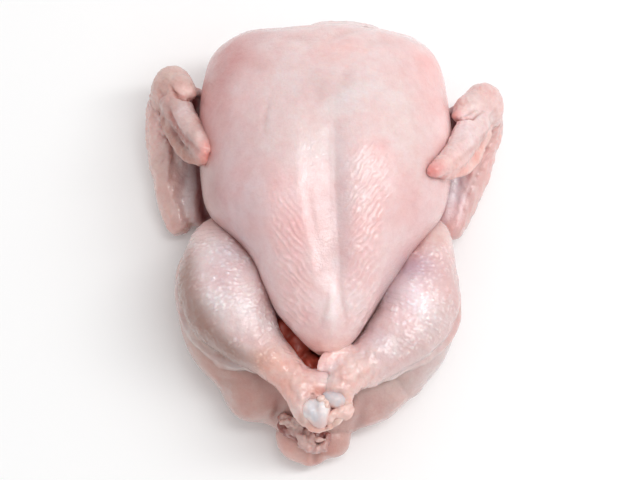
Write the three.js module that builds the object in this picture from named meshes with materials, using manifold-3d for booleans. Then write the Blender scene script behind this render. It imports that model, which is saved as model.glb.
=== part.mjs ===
// A whole raw chicken, plucked and drawn, lying on its back with its legs drawn together.
// Millimetres. +Z is up, +Y points to the neck end, and the table is the plane z = 0.
import * as THREE from "three";
import { mergeVertices } from "three/addons/utils/BufferGeometryUtils.js";
import Module from "manifold-3d";

// Driving sizes of the bird.
const BREAST_HALF_WIDTH = 67.5; // half of the breast's widest line, behind the shoulders
const BREAST_TOP = 111; // height of the plumpest part of the breast
const NECK_END = 111; // where the front of the breast ends, along Y
const KEEL_TIP = -67.5; // where the point of the breast ends, along Y
const RUMP_END = -104; // where the back ends and only the tail goes on
const TAIL_TIP = -120.5;

// The dent along the breast over the keel bone.
const KEEL_DENT_DEPTH = 4;
const KEEL_DENT_HALF_WIDTH = 9;

// The body cavity, open at the rear between the point of the breast and the tail.
const CAVITY_RADIUS = 36;
const CAVITY_MOUTH_RADIUS = 19;
const CAVITY_HEIGHT = 47; // its middle line above the table
const CAVITY_FRONT = 62; // how far forward it reaches, along Y

// How finely each kind of piece is divided.
const TRUNK_SIDES = 40;
const TRUNK_RINGS = 30;
const BACK_SIDES = 28;
const BACK_RINGS = 18;
const LIMB_SIDES = 14;
const LIMB_RINGS = 12;
const SMALL_SIDES = 10;
const SMALL_RINGS = 10;
const DRUMSTICK_RINGS = 18;

const SKIN = new THREE.MeshStandardMaterial({
  color: 0xeccfcd,
  roughness: 0.38,
  metalness: 0,
});

const wasm = await Module();
wasm.setup();

// A closed three.js geometry as a solid that can be joined and cut.
function solidFrom(geometry) {
  geometry.deleteAttribute("normal");
  geometry.deleteAttribute("uv");
  const welded = mergeVertices(geometry, 1e-3);
  const mesh = new wasm.Mesh({
    numProp: 3,
    vertProperties: welded.attributes.position.array,
    triVerts: new Uint32Array(welded.index.array),
  });
  return new wasm.Manifold(mesh);
}

// A smooth run through one value of each station, as a three.js curve.
function runThrough(stations, pick) {
  const points = stations.map((station) => new THREE.Vector3(...pick(station)));
  return new THREE.CatmullRomCurve3(points, false, "catmullrom", 0.5);
}

// How full a section is at the share t of its length: 1 in the middle, falling to 0 in a
// rounded end that takes up the share `round` of the length.
function endRounding(t, round) {
  const nearest = Math.min(t / round.start, (1 - t) / round.end, 1);
  return Math.sqrt(Math.max(0, 1 - (1 - nearest) ** 2));
}

// A fleshy body along a curved middle line. Each station holds the middle line's x, y and z,
// then half the width there, and the height of flesh above and below the middle line.
// It is a sphere whose rings are carried along the line and stretched to those sizes.
function flesh(stations, { sides = LIMB_SIDES, rings = LIMB_RINGS, round, shape } = {}) {
  const middle = runThrough(stations, ([x, y, z]) => [x, y, z]);
  const sizes = runThrough(stations, ([, , , half, above, below]) => [half, above, below]);
  const ends = round ?? { start: 0.14, end: 0.14 };
  const geometry = new THREE.SphereGeometry(1, sides, rings);
  const position = geometry.attributes.position;
  const up = new THREE.Vector3(0, 0, 1);
  const on = new THREE.Vector3();
  for (let i = 0; i < position.count; i++) {
    on.fromBufferAttribute(position, i);
    const t = THREE.MathUtils.clamp((1 - on.y) / 2, 0, 1);
    const turn = Math.atan2(-on.z, on.x);
    const centre = middle.getPoint(t);
    const size = sizes.getPoint(t);
    const forward = middle.getTangent(t);
    const across = new THREE.Vector3().crossVectors(forward, up).normalize();
    const over = new THREE.Vector3().crossVectors(across, forward).normalize();
    const full = endRounding(t, ends) * (Math.hypot(on.x, on.z) > 1e-6 ? 1 : 0);
    const height = Math.sin(turn) > 0 ? size.y : size.z;
    const point = centre
      .addScaledVector(across, Math.cos(turn) * size.x * full)
      .addScaledVector(over, Math.sin(turn) * height * full);
    if (shape) shape(point);
    position.setXYZ(i, point.x, point.y, point.z);
  }
  return solidFrom(geometry);
}

// The breast: squared at the shoulders, fullest behind them, and drawn out to a point at
// the end of the keel bone, with a shallow dent along its middle.
function breast() {
  const w = BREAST_HALF_WIDTH;
  const top = BREAST_TOP;
  const stations = [
    [0, NECK_END - 1, 50, 0.62 * w, 20, 24],
    [0, 102.5, 51, 0.84 * w, 31, 36],
    [0, 88, 52, 0.95 * w, top - 68, 46],
    [0, 62, 53, w, top - 58, 54],
    [0.6, 35, 55, w - 0.6, top - 55, 56],
    [0.2, 12, 57, 0.93 * w, top - 58, 52],
    [1.5, -3, 59.5, 0.78 * w, top - 62.5, 45],
    [2.5, -17, 62.5, 0.6 * w, top - 68, 34],
    [0.5, -32, 66, 0.47 * w, top - 75.5, 24],
    [-0.3, -46, 68, 0.36 * w, top - 83.5, 16],
    [0.5, -60, 68, 0.21 * w, top - 93, 10],
    [-0.5, KEEL_TIP, 67, 0.11 * w, top - 102, 7],
  ];
  const dent = (point) => {
    if (point.z < 60) return;
    const beside = point.x / KEEL_DENT_HALF_WIDTH;
    const along = THREE.MathUtils.smoothstep(point.y, KEEL_TIP + 20, 0);
    const front = 1 - THREE.MathUtils.smoothstep(point.y, 60, NECK_END);
    point.z -= KEEL_DENT_DEPTH * Math.exp(-beside * beside) * along * front;
  };
  return flesh(stations, {
    sides: TRUNK_SIDES,
    rings: TRUNK_RINGS,
    round: { start: 0.05, end: 0.1 },
    shape: dent,
  });
}

// The back and rump, which the bird lies on.
function back() {
  const stations = [
    [0, 102, 34, 38, 18, 26],
    [0, 80, 30, 52, 30, 33],
    [0, 40, 29, 56, 34, 33],
    [0, 0, 28, 54, 34, 33],
    [-1, -40, 28, 54, 30, 33],
    [-2, -66, 27, 56, 24, 30],
    [-3, -84, 25, 45, 17, 26],
    [-3, RUMP_END, 22, 22, 9, 14],
  ];
  return flesh(stations, {
    sides: BACK_SIDES,
    rings: BACK_RINGS,
    round: { start: 0.08, end: 0.08 },
  });
}

// An egg-shaped lump of flesh with these half sizes.
function lump([x, y, z], [halfX, halfY, halfZ]) {
  const geometry = new THREE.SphereGeometry(1, SMALL_SIDES, SMALL_RINGS);
  geometry.scale(halfX, halfY, halfZ);
  geometry.translate(x, y, z);
  return solidFrom(geometry);
}

// The rounded lobe of flesh on each side of the rump.
function rumpLobes() {
  return lump([-37, -80, 24], [17, 18, 19]).add(lump([27, -79.5, 24], [18, 14.5, 18]));
}

// The tail, two low lobes that run together into a flat point.
function tail() {
  const point = [-6.5, TAIL_TIP + 9.5, 15];
  return lump([-13, -105, 17], [13, 12.5, 9.5])
    .add(lump([2, -104, 17], [11.5, 12.5, 9.5]))
    .add(lump(point, [9, 9.5, 7]));
}

// The loose skin of the neck, folded over the front of the breast.
function neckSkin() {
  const stations = [
    [9, 98, 57, 35, 22, 28],
    [9, 108, 53, 27.5, 15, 22],
    [8, 117, 49, 13, 8, 10],
  ];
  return flesh(stations, { round: { start: 0.2, end: 0.14 } });
}

// One leg: the thigh against the flank, and the drumstick drawn in over the rump, down to
// the ankle where the foot was cut off.
function leg({ thigh, drumstick }) {
  return flesh(thigh, { round: { start: 0.2, end: 0.25 } }).add(
    flesh(drumstick, { rings: DRUMSTICK_RINGS, round: { start: 0.1, end: 0.06 } }),
  );
}

const LEFT_LEG = {
  thigh: [
    [-30, -66, 27, 23, 22, 24],
    [-48, -50, 28, 26, 25, 26],
    [-56, -28, 30, 25, 27, 27],
    [-60, 0, 34, 20, 22, 24],
  ],
  drumstick: [
    [-56, 9, 46, 8, 8, 9],
    [-57.5, -4, 48, 14.5, 13.5, 14],
    [-56, -19, 52.5, 21.3, 18.5, 20],
    [-51.5, -34.5, 55.5, 24.2, 20.5, 22.5],
    [-43.8, -49.5, 58, 20.4, 18, 20],
    [-31.8, -64.3, 60, 13, 13.2, 13],
    [-18.5, -77, 65, 9.6, 9, 9.5],
    [-12, -85, 67.5, 9.8, 8.5, 9],
    [-7, -94.5, 67, 10, 8, 10],
    [-4.5, -104, 63, 9, 5, 9],
  ],
};
const RIGHT_LEG = {
  thigh: [
    [27, -66, 27, 23, 22, 24],
    [43, -50, 28, 25, 25, 26],
    [47, -28, 30, 22.5, 27, 27],
    [48, 2, 34, 17, 21, 23],
  ],
  drumstick: [
    [58.5, 8, 45, 7, 7, 8],
    [57, -4, 48, 10.8, 12, 13],
    [53.8, -19, 51, 15.6, 16, 18],
    [50.2, -36, 53, 20.4, 19, 20],
    [42.3, -51, 55.5, 18.7, 17, 18],
    [27, -66, 59.5, 13.5, 13, 13],
    [13.5, -76, 64.5, 10.5, 9.2, 9.5],
    [7.5, -84, 67, 9, 7.8, 8.5],
    [6.5, -91.5, 66, 8, 6, 8],
    [6, -98.5, 64, 7, 5, 7],
  ],
};

// One wing, folded: the upper arm back along the flank, the forearm forward again outside
// it with thin skin between them, the round wrist, and the hand turned back over both with
// the loose skin of its trailing edge.
function wing({ upperArm, forearm, web, wrist, hand, flap }) {
  let solid = flesh(upperArm, { sides: SMALL_SIDES })
    .add(flesh(forearm, { round: { start: 0.08, end: 0.1 } }))
    .add(flesh(web, { sides: SMALL_SIDES, rings: SMALL_RINGS }))
    .add(flesh(hand, { round: { start: 0.1, end: 0.16 } }))
    .add(flesh(flap, { sides: SMALL_SIDES }));
  for (const [middle, halfSizes] of wrist) solid = solid.add(lump(middle, halfSizes));
  return solid;
}

const LEFT_WING = {
  upperArm: [
    [-46, 84, 36, 15, 16, 16],
    [-59, 58, 24, 14, 13, 15],
    [-66, 32, 17, 11, 10, 12],
    [-70.5, 11, 14, 9, 8, 9],
  ],
  forearm: [
    [-77.5, 7, 14, 7.5, 8, 9],
    [-83.5, 22, 15, 8, 8, 9],
    [-87.3, 40, 18, 8.5, 9, 11],
    [-90, 60, 23, 9, 9, 12],
    [-89, 75, 30, 9.5, 9, 12],
    [-84.5, 83, 37, 7, 6.5, 8.5],
    [-78, 84, 41, 5, 5, 6.5],
  ],
  web: [
    [-75, 16, 13, 8, 6, 7],
    [-79, 38, 16, 8, 6.5, 9],
    [-78, 58, 21, 10, 6.5, 9],
    [-75, 74, 27, 11, 5, 7],
    [-74, 87, 31, 10, 5, 7],
  ],
  wrist: [
    [[-83, 82, 41], [11.5, 13, 13]],
    [[-77.5, 79.5, 51], [7.5, 7, 8.5]],
  ],
  hand: [
    [-83, 76, 48, 8, 7, 8],
    [-79.5, 68.5, 52.5, 8, 6.5, 7.5],
    [-73.5, 57, 62, 7.2, 6.5, 7],
    [-67, 45.2, 72, 6.2, 6, 6],
    [-60.8, 35.8, 80, 4.6, 4.6, 4.6],
  ],
  flap: [
    [-86, 72, 43, 4, 3, 4],
    [-80.5, 54.5, 52, 4.8, 3, 4],
    [-70.8, 39.8, 65, 5, 2.8, 4],
    [-61.2, 33, 77.5, 3, 2.6, 3],
  ],
};
const RIGHT_WING = {
  upperArm: [
    [46, 80, 36, 15, 16, 16],
    [58, 54, 24, 14, 13, 15],
    [61, 28, 17, 11, 10, 12],
    [64, 11, 14, 7, 7, 9],
  ],
  forearm: [
    [67, 5, 14, 5.5, 7, 9],
    [73.8, 17, 15, 7, 8, 9],
    [80.5, 34, 18, 8.2, 9, 11],
    [85.8, 54, 23, 9, 9, 12],
    [88.2, 67, 30, 9.5, 9, 12],
    [85, 73.5, 37, 7, 6.5, 8.5],
    [81, 75, 42, 5, 5, 6.5],
  ],
  web: [
    [67, 15, 13, 7, 6, 7],
    [71, 34, 16, 8, 6.5, 9],
    [74, 50, 21, 9, 6.5, 9],
    [75, 64, 27, 10, 5, 7],
    [75.5, 77, 31, 9, 5, 7],
  ],
  wrist: [
    [[85.8, 72.5, 42], [11, 12.6, 13]],
    [[78, 68, 51], [8.8, 8.6, 9.5]],
  ],
  hand: [
    [84, 69, 46, 7.5, 7, 8],
    [80.5, 60, 54.5, 8, 7.2, 8],
    [75.2, 50, 64.5, 8.2, 7, 7.5],
    [70.3, 40, 74, 7.4, 6.6, 7],
    [64.2, 31.5, 82, 6.2, 6, 6],
    [52.8, 22.5, 91.5, 3.4, 3.6, 3.6],
  ],
  flap: [
    [88, 65, 40, 4, 3, 4],
    [81, 47.5, 54, 4.8, 3, 4],
    [71, 31.5, 70, 5, 3, 4],
    [59, 23.5, 84, 3.6, 3, 3],
  ],
};

// What is drawn out of the bird: a round-ended hollow from the rear opening forwards.
function cavity() {
  const r = CAVITY_RADIUS;
  const mouth = CAVITY_MOUTH_RADIUS;
  const stations = [
    [0, -112, CAVITY_HEIGHT, mouth, mouth, mouth],
    [0, -74, CAVITY_HEIGHT, mouth, mouth, mouth],
    [0, -36, CAVITY_HEIGHT, 1.1 * mouth, mouth, 1.2 * mouth],
    [0, 2, CAVITY_HEIGHT, r, r, 0.9 * r],
    [0, CAVITY_FRONT, CAVITY_HEIGHT, r, r, 0.9 * r],
  ];
  return flesh(stations, { sides: 20, rings: 14, round: { start: 0.1, end: 0.2 } });
}

// Everything under the table, cut off so that the bird lies on a flat back.
function underTable() {
  const depth = 60;
  const slab = new THREE.BoxGeometry(400, 400, depth);
  slab.translate(0, 0, -depth / 2);
  return solidFrom(slab);
}

const carcass = breast()
  .add(back())
  .add(rumpLobes())
  .add(tail())
  .add(neckSkin())
  .subtract(cavity());
const whole = carcass
  .add(leg(LEFT_LEG))
  .add(leg(RIGHT_LEG))
  .add(wing(LEFT_WING))
  .add(wing(RIGHT_WING))
  .subtract(underTable());

// The joined solid as a three.js geometry, centred over the origin.
function geometryFrom(solid) {
  const mesh = solid.getMesh();
  const geometry = new THREE.BufferGeometry();
  const position = new Float32Array(mesh.numVert * 3);
  for (let i = 0; i < mesh.numVert; i++) {
    position.set(mesh.vertProperties.subarray(i * mesh.numProp, i * mesh.numProp + 3), i * 3);
  }
  geometry.setAttribute("position", new THREE.BufferAttribute(position, 3));
  geometry.setIndex(new THREE.BufferAttribute(mesh.triVerts, 1));
  geometry.computeBoundingBox();
  const centre = geometry.boundingBox.getCenter(new THREE.Vector3());
  geometry.translate(-centre.x, -centre.y, 0);
  geometry.computeVertexNormals();
  return geometry;
}

const chicken = new THREE.Mesh(geometryFrom(whole), SKIN);
chicken.name = "whole_chicken";

const model = new THREE.Group();
model.add(chicken);
export default model;
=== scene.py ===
"""A whole raw chicken, plucked and drawn, lying breast up on a pale table."""
import math
from functools import partial

import bmesh
import bpy
import numpy as np
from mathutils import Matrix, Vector


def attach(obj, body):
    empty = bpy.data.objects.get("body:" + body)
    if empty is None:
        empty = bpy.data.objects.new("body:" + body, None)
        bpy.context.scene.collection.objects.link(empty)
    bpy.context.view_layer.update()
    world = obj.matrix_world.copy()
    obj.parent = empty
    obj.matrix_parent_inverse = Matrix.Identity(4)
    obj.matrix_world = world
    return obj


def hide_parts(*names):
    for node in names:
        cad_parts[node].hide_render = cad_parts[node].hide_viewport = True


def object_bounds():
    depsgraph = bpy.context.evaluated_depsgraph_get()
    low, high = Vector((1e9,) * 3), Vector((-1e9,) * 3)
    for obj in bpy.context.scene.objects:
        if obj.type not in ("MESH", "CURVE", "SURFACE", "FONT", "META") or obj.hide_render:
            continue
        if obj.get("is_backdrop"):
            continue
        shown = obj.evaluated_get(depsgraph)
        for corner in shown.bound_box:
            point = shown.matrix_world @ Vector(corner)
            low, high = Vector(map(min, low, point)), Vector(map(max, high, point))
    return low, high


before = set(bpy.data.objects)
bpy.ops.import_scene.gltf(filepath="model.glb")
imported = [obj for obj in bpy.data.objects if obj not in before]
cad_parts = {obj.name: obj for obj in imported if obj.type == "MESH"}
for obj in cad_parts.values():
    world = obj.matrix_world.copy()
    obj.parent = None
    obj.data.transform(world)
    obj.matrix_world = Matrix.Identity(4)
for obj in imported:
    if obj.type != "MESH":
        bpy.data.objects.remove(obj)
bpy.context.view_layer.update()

# ---------------------------------------------------------------------------------------
# The carcass: breast, back, thighs, wing arms and tail under one moist, pale pink skin. It
# is drawn, so a hollow runs in from the rear, and its own weight presses the back flat.
# Rounded bodies along curved middle lines melt into each other to make the skin.

# All sizes are in millimetres. Each station of a body holds the x, y and z of its middle
# line, then half its width there, and the height of flesh above and below the line.
BREAST = [
    (0, 110, 50, 42, 20, 24),
    (0, 102.5, 51, 56.5, 31, 36),
    (0, 88, 52, 64, 43, 46),
    (0, 62, 53, 67.5, 53, 54),
    (0.6, 35, 55, 66.9, 56, 56),
    (0.2, 12, 57, 62.8, 53, 52),
    (1.5, -3, 59.5, 52.5, 48.5, 45),
    (2.5, -17, 62.5, 40.5, 43, 34),
    (0.5, -32, 66, 31.5, 35.5, 24),
    (-0.3, -46, 68, 24.3, 27.5, 16),
    (0.5, -60, 68, 14, 18, 10),
    (-0.5, -67.5, 67, 7.5, 9, 7),
]
BACK = [
    (0, 102, 34, 38, 18, 26),
    (0, 80, 30, 52, 30, 33),
    (0, 40, 29, 56, 34, 33),
    (0, 0, 28, 54, 34, 33),
    (-1, -40, 28, 54, 30, 33),
    (-2, -66, 27, 56, 24, 30),
    (-3, -84, 25, 45, 17, 26),
    (-3, -104, 22, 22, 9, 14),
]
NECK_SKIN = [
    (8, 84, 64, 40, 26, 30),
    (9, 98, 57, 35, 23, 28),
    (9, 108, 53, 27.5, 16, 22),
    (8, 117, 49, 13, 8, 10),
]
THIGHS = {
    "left": [
        (-30, -66, 27, 23, 22, 24),
        (-48, -50, 28, 26, 25, 26),
        (-56, -28, 30, 25, 27, 27),
        (-60, 0, 34, 20, 22, 24),
    ],
    "right": [
        (27, -66, 27, 23, 22, 24),
        (43, -50, 28, 25, 25, 26),
        (47, -28, 30, 22.5, 27, 27),
        (48, 2, 34, 17, 21, 23),
    ],
}
UPPER_ARMS = {
    "left": [
        (-46, 84, 36, 15, 16, 16),
        (-59, 58, 24, 14, 13, 15),
        (-66, 32, 17, 11, 10, 12),
        (-70.5, 11, 14, 9, 8, 9),
    ],
    "right": [
        (46, 80, 36, 15, 16, 16),
        (58, 54, 24, 14, 13, 15),
        (61, 28, 17, 11, 10, 12),
        (64, 11, 14, 7, 7, 9),
    ],
}
FOREARMS = {
    "left": [
        (-77.5, 7, 14, 7.5, 8, 9),
        (-83.5, 22, 15, 8, 8, 9),
        (-87.3, 40, 18, 8.5, 9, 11),
        (-90, 60, 23, 9, 9, 12),
        (-89, 75, 30, 9.5, 9, 12),
        (-84.5, 83, 37, 7, 6.5, 8.5),
        (-78, 84, 41, 5, 5, 6.5),
    ],
    "right": [
        (67, 5, 14, 5.5, 7, 9),
        (73.8, 17, 15, 7, 8, 9),
        (80.5, 34, 18, 8.2, 9, 11),
        (85.8, 54, 23, 9, 9, 12),
        (88.2, 67, 30, 9.5, 9, 12),
        (85, 73.5, 37, 7, 6.5, 8.5),
        (81, 75, 42, 5, 5, 6.5),
    ],
}
ARM_WEBS = {  # the thin skin between the two bones of each folded arm
    "left": [
        (-75, 16, 13, 8, 6, 7),
        (-79, 38, 16, 8, 6.5, 9),
        (-78, 58, 21, 10, 6.5, 9),
        (-75, 74, 27, 11, 5, 7),
        (-74, 87, 31, 10, 5, 7),
    ],
    "right": [
        (67, 15, 13, 7, 6, 7),
        (71, 34, 16, 8, 6.5, 9),
        (74, 50, 21, 9, 6.5, 9),
        (75, 64, 27, 10, 5, 7),
        (75.5, 77, 31, 9, 5, 7),
    ],
}
CAVITY = [
    (-1, -112, 46, 17, 17, 14),
    (-2, -76, 46, 17, 18, 17),
    (-3, -56, 46, 17, 15, 18),
    (-2, -36, 46, 19, 15, 20),
    (0, 2, 47, 36, 36, 32),
    (0, 62, 47, 36, 36, 32),
]
CAVITY_SLOT = [  # the gap between the left drumstick and the breast, open to the cavity
    (-28, -45, 58, 2, 10, 6),
    (-22, -56, 56, 3.5, 16, 10),
    (-14, -68, 54, 6, 18, 10),
    (-6, -76, 52, 6, 18, 10),
]
RUMP_LOBES = [  # middle, half sizes, and how far each melts into the flesh around it
    ((-37, -80, 24), (17, 18, 19), 6),
    ((27, -79.5, 24), (18, 14.5, 18), 13),
]
TAIL_LOBES = [
    ((-13, -105, 17), (13, 12.5, 9.5)),
    ((2, -104, 17), (11.5, 12.5, 9.5)),
    ((-6.5, -111, 15), (9, 9.5, 7)),
]
BACK_FILLET = 14  # how softly the breast runs into the back
NECK_FILLET = 16
FAR = 16.0  # beyond this distance a body has no part in the shape


def run_through(stations, steps):
    """A smooth run through the stations, at evenly spread shares of its length."""
    held = np.array([stations[0], *stations, stations[-1]], float)
    share = np.linspace(0, len(stations) - 1, steps)
    first = np.minimum(share.astype(int), len(stations) - 2)
    t = (share - first)[:, None]
    a, b, c, d = (held[first + k] for k in range(4))
    return 0.5 * (2 * b + (c - a) * t + (2 * a - 5 * b + 4 * c - d) * t**2 + (3 * b - a - 3 * c + d) * t**3)


def place_along(points, middle):
    """How far along the middle line, in steps, the nearest place to each point lies."""
    best = np.full(len(points), 1e18)
    place = np.zeros(len(points))
    for i in range(len(middle) - 1):
        run = middle[i + 1] - middle[i]
        t = np.clip((points - middle[i]) @ run / (run @ run), 0, 1)
        off = points - middle[i] - t[:, None] * run
        far = np.einsum("ij,ij->i", off, off)
        closer = far < best
        best[closer] = far[closer]
        place[closer] = i + t[closer]
    return place


def near_flesh_depth(points, line, start, end, plumb):
    """Signed distance to the round section of a body beside each point, and past its ends."""
    steps = len(line)
    share = np.linspace(0, 1, steps)
    nearest_end = np.minimum(np.minimum(share / start, (1 - share) / end), 1)
    full = np.sqrt(np.maximum(1 - (1 - nearest_end) ** 2, 1e-4))
    middle = line[:, :3]
    sizes = line[:, 3:] * full[:, None]
    if plumb:
        forward = np.tile((0.0, -1.0, 0.0), (steps, 1))
        across = np.tile((1.0, 0.0, 0.0), (steps, 1))
        over = np.tile((0.0, 0.0, 1.0), (steps, 1))
        place = np.interp(-points[:, 1], -middle[:, 1], np.arange(steps))
    else:
        forward = np.gradient(middle, axis=0)
        forward /= np.linalg.norm(forward, axis=1, keepdims=True)
        across = np.cross(forward, (0, 0, 1))
        across /= np.linalg.norm(across, axis=1, keepdims=True)
        over = np.cross(across, forward)
        place = place_along(points, middle)
    low = np.minimum(place.astype(int), steps - 2)
    t = (place - low)[:, None]
    size = sizes[low] * (1 - t) + sizes[low + 1] * t
    off = points - (middle[low] * (1 - t) + middle[low + 1] * t)
    u = np.einsum("ij,ij->i", off, across[low] * (1 - t) + across[low + 1] * t)
    v = np.einsum("ij,ij->i", off, over[low] * (1 - t) + over[low + 1] * t)
    past_end = (place <= 0) | (place >= steps - 1)
    w = np.where(past_end, np.einsum("ij,ij->i", off, forward[low + (place >= steps - 1)]), 0)
    height = np.where(v > 0, size[:, 1], size[:, 2])
    ratio = np.maximum(np.hypot(u / size[:, 0], v / height), 1e-3)
    slope = np.hypot(u / size[:, 0] ** 2, v / height**2) / ratio
    depth = (ratio - 1) / np.maximum(slope, 1e-6)
    depth = np.maximum(depth, -np.minimum(size[:, 0], height))
    return np.where(past_end, np.hypot(np.maximum(depth, 0), w), depth)


def flesh_depth(points, stations, start=0.14, end=0.14, steps=26, plumb=False):
    """Signed distance from points to a body's surface, negative inside it. The sections
    of a plumb body stand upright across Y; those of the others turn with the middle line."""
    line = run_through(stations, steps)
    reach = line[:, 3:].max(1)[:, None]
    box_low, box_high = (line[:, :3] - reach).min(0), (line[:, :3] + reach).max(0)
    outside = np.linalg.norm(np.maximum(np.maximum(box_low - points, points - box_high), 0), axis=1)
    near = outside < FAR
    depth = outside + FAR
    depth[near] = near_flesh_depth(points[near], line, start, end, plumb)
    return depth


def lump_depth(points, centre, radii):
    """Signed distance to an egg-shaped lump."""
    off = (points - np.array(centre)) / np.array(radii)
    ratio = np.maximum(np.linalg.norm(off, axis=1), 1e-3)
    slope = np.linalg.norm(off / np.array(radii), axis=1) / ratio
    return (ratio - 1) / np.maximum(slope, 1e-6)


def melt(a, b, reach):
    """Joins two bodies with a fillet of about this reach."""
    near = np.maximum(reach - np.abs(a - b), 0) / np.maximum(reach, 1e-6)
    return np.minimum(a, b) - near**2 * reach / 4


def carve(a, b, reach):
    """Takes body b out of body a, with edges rounded by about this reach."""
    return -melt(-a, b, reach)


def rise(value, low, high):
    """0 below low, 1 above high, smooth between."""
    t = np.clip((value - low) / (high - low), 0, 1)
    return t * t * (3 - 2 * t)


def keel_line(y):
    """Where the keel bone runs under the skin, across the breast."""
    return 1.2 + 2.6 * rise(-y, -30, 45)


DENT_DEPTH = 4.2  # between the two breast muscles
KEEL_TIP_HEIGHT = 2.0


def keel_dent(x, y):
    """How far the skin sinks between the two breast muscles, and rises at the keel's tip."""
    side = x - keel_line(y)
    left = np.clip(1 + side / (17 - 7 * rise(-y, -10, 40)), 0, 1)
    right = np.clip(1 - (side - 3.6) / 14, 0, 1)
    left = left**1.1 * rise(left, -0.15, 0.45)
    across = np.where(side < 0, left, right ** (1.6 - 0.5 * rise(y, 0, 40)))
    along = rise(y, -52, -24) * (1 - rise(y, 30, 66))
    shallow = 0.22 * (1 - rise(y, 60, 100)) * rise(y, 20, 60)
    tip = np.exp(-((side / 4.5) ** 2) - ((y + 50) / 12) ** 2)
    return DENT_DEPTH * (along + shallow) * across - KEEL_TIP_HEIGHT * tip


PARTS = {
    "breast": (BREAST, dict(start=0.05, end=0.1, steps=60, plumb=True)),
    "back": (BACK, dict(start=0.08, end=0.08, steps=40, plumb=True)),
    "neck": (NECK_SKIN[::-1], dict(start=0.2, end=0.2, steps=40, plumb=True)),
    "cavity": (CAVITY[::-1], dict(start=0.2, end=0.1, steps=40, plumb=True)),
    "slot": (CAVITY_SLOT, {}),
}
for side in ("left", "right"):
    PARTS[side + "_thigh"] = (THIGHS[side], dict(start=0.2, end=0.25))
    PARTS[side + "_upper_arm"] = (UPPER_ARMS[side], {})
    PARTS[side + "_forearm"] = (FOREARMS[side], dict(start=0.08, end=0.1))
    PARTS[side + "_arm_web"] = (ARM_WEBS[side], {})


def part_depth(points, name):
    stations, how = PARTS[name]
    if name == "breast":  # the right shoulder sits a little further back than the left
        points = points.copy()
        points[:, 1] += 0.05 * np.maximum(points[:, 0], 0) * rise(points[:, 1], 40, 100)
    return flesh_depth(points, stations, **how)


def tail_depth(points):
    """Signed distance to the tail: two plump lobes side by side, and the small one behind."""
    depth = lump_depth(points, *TAIL_LOBES[0])
    depth = melt(depth, lump_depth(points, *TAIL_LOBES[1]), 2)
    return melt(depth, lump_depth(points, *TAIL_LOBES[2]), 3)


def arm_depth(points, side):
    arm = melt(part_depth(points, side + "_upper_arm"), part_depth(points, side + "_arm_web"), 4)
    return melt(arm, part_depth(points, side + "_forearm"), 3)


def carcass_depth(points):
    """Signed distance to the skin of the carcass."""
    x, y, z = points.T
    breast = part_depth(points, "breast")
    breast = melt(breast, part_depth(points, "neck"), NECK_FILLET)
    breast += np.where(z > 60, keel_dent(x, y), 0)
    carcass = melt(breast, part_depth(points, "back"), BACK_FILLET)
    for side in ("left", "right"):  # the thighs run softly into the back, sharply into the breast
        carcass = melt(carcass, part_depth(points, side + "_thigh"), 12 - 9 * rise(z, 42, 54))
    for middle, radii, reach in RUMP_LOBES:
        carcass = melt(carcass, lump_depth(points, middle, radii), reach)
    carcass = melt(carcass, tail_depth(points), 4)
    carcass = carve(carcass, melt(part_depth(points, "cavity"), part_depth(points, "slot"), 3), 3)
    for side in ("left", "right"):
        carcass = melt(carcass, arm_depth(points, side), 2.5 + 6 * rise(y, 62, 85))
    return np.maximum(carcass, -z)


UNIT = np.eye(3, dtype=int)
CORNERS = [(i, j, k) for i in (0, 1) for j in (0, 1) for k in (0, 1)]
COARSE = 3  # cells in a step of the coarse grid on which the surface is found first
NEAR_SURFACE = 6.5  # cells to either side of it where the depth is worked out in full


def depth_on_grid(depth, axes, cell):
    """The depth at each point of a grid, rough where the surface is far away."""
    grid = np.stack(np.meshgrid(*axes, indexing="ij"), -1)
    shape = grid.shape[:3]
    rough_shape = tuple(-(-n // COARSE) for n in shape)
    rough = depth(grid[::COARSE, ::COARSE, ::COARSE].reshape(-1, 3)).reshape(rough_shape)
    half = COARSE // 2
    nearest = [np.minimum((np.arange(n) + half) // COARSE, m - 1) for n, m in zip(shape, rough_shape)]
    value = rough[np.ix_(*nearest)]
    near = np.abs(value) < NEAR_SURFACE * cell
    value[near] = depth(grid[near])
    return value


def middle_of_crossings(value, at):
    """For each cell of a grid, the mean place where the surface crosses its edges."""
    total = np.zeros((len(at), 3))
    hits = np.zeros(len(at))
    for corner in CORNERS:
        for k in range(3):
            if corner[k]:
                continue
            a = value[tuple((at + corner).T)]
            b = value[tuple((at + corner + UNIT[k]).T)]
            crosses = (a < 0) != (b < 0)
            t = np.where(crosses, a / np.where(crosses, a - b, 1), 0)
            point = np.array(corner, float) + t[:, None] * UNIT[k]
            total += np.where(crosses[:, None], point, 0)
            hits += crosses
    return at + total / hits[:, None]


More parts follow.
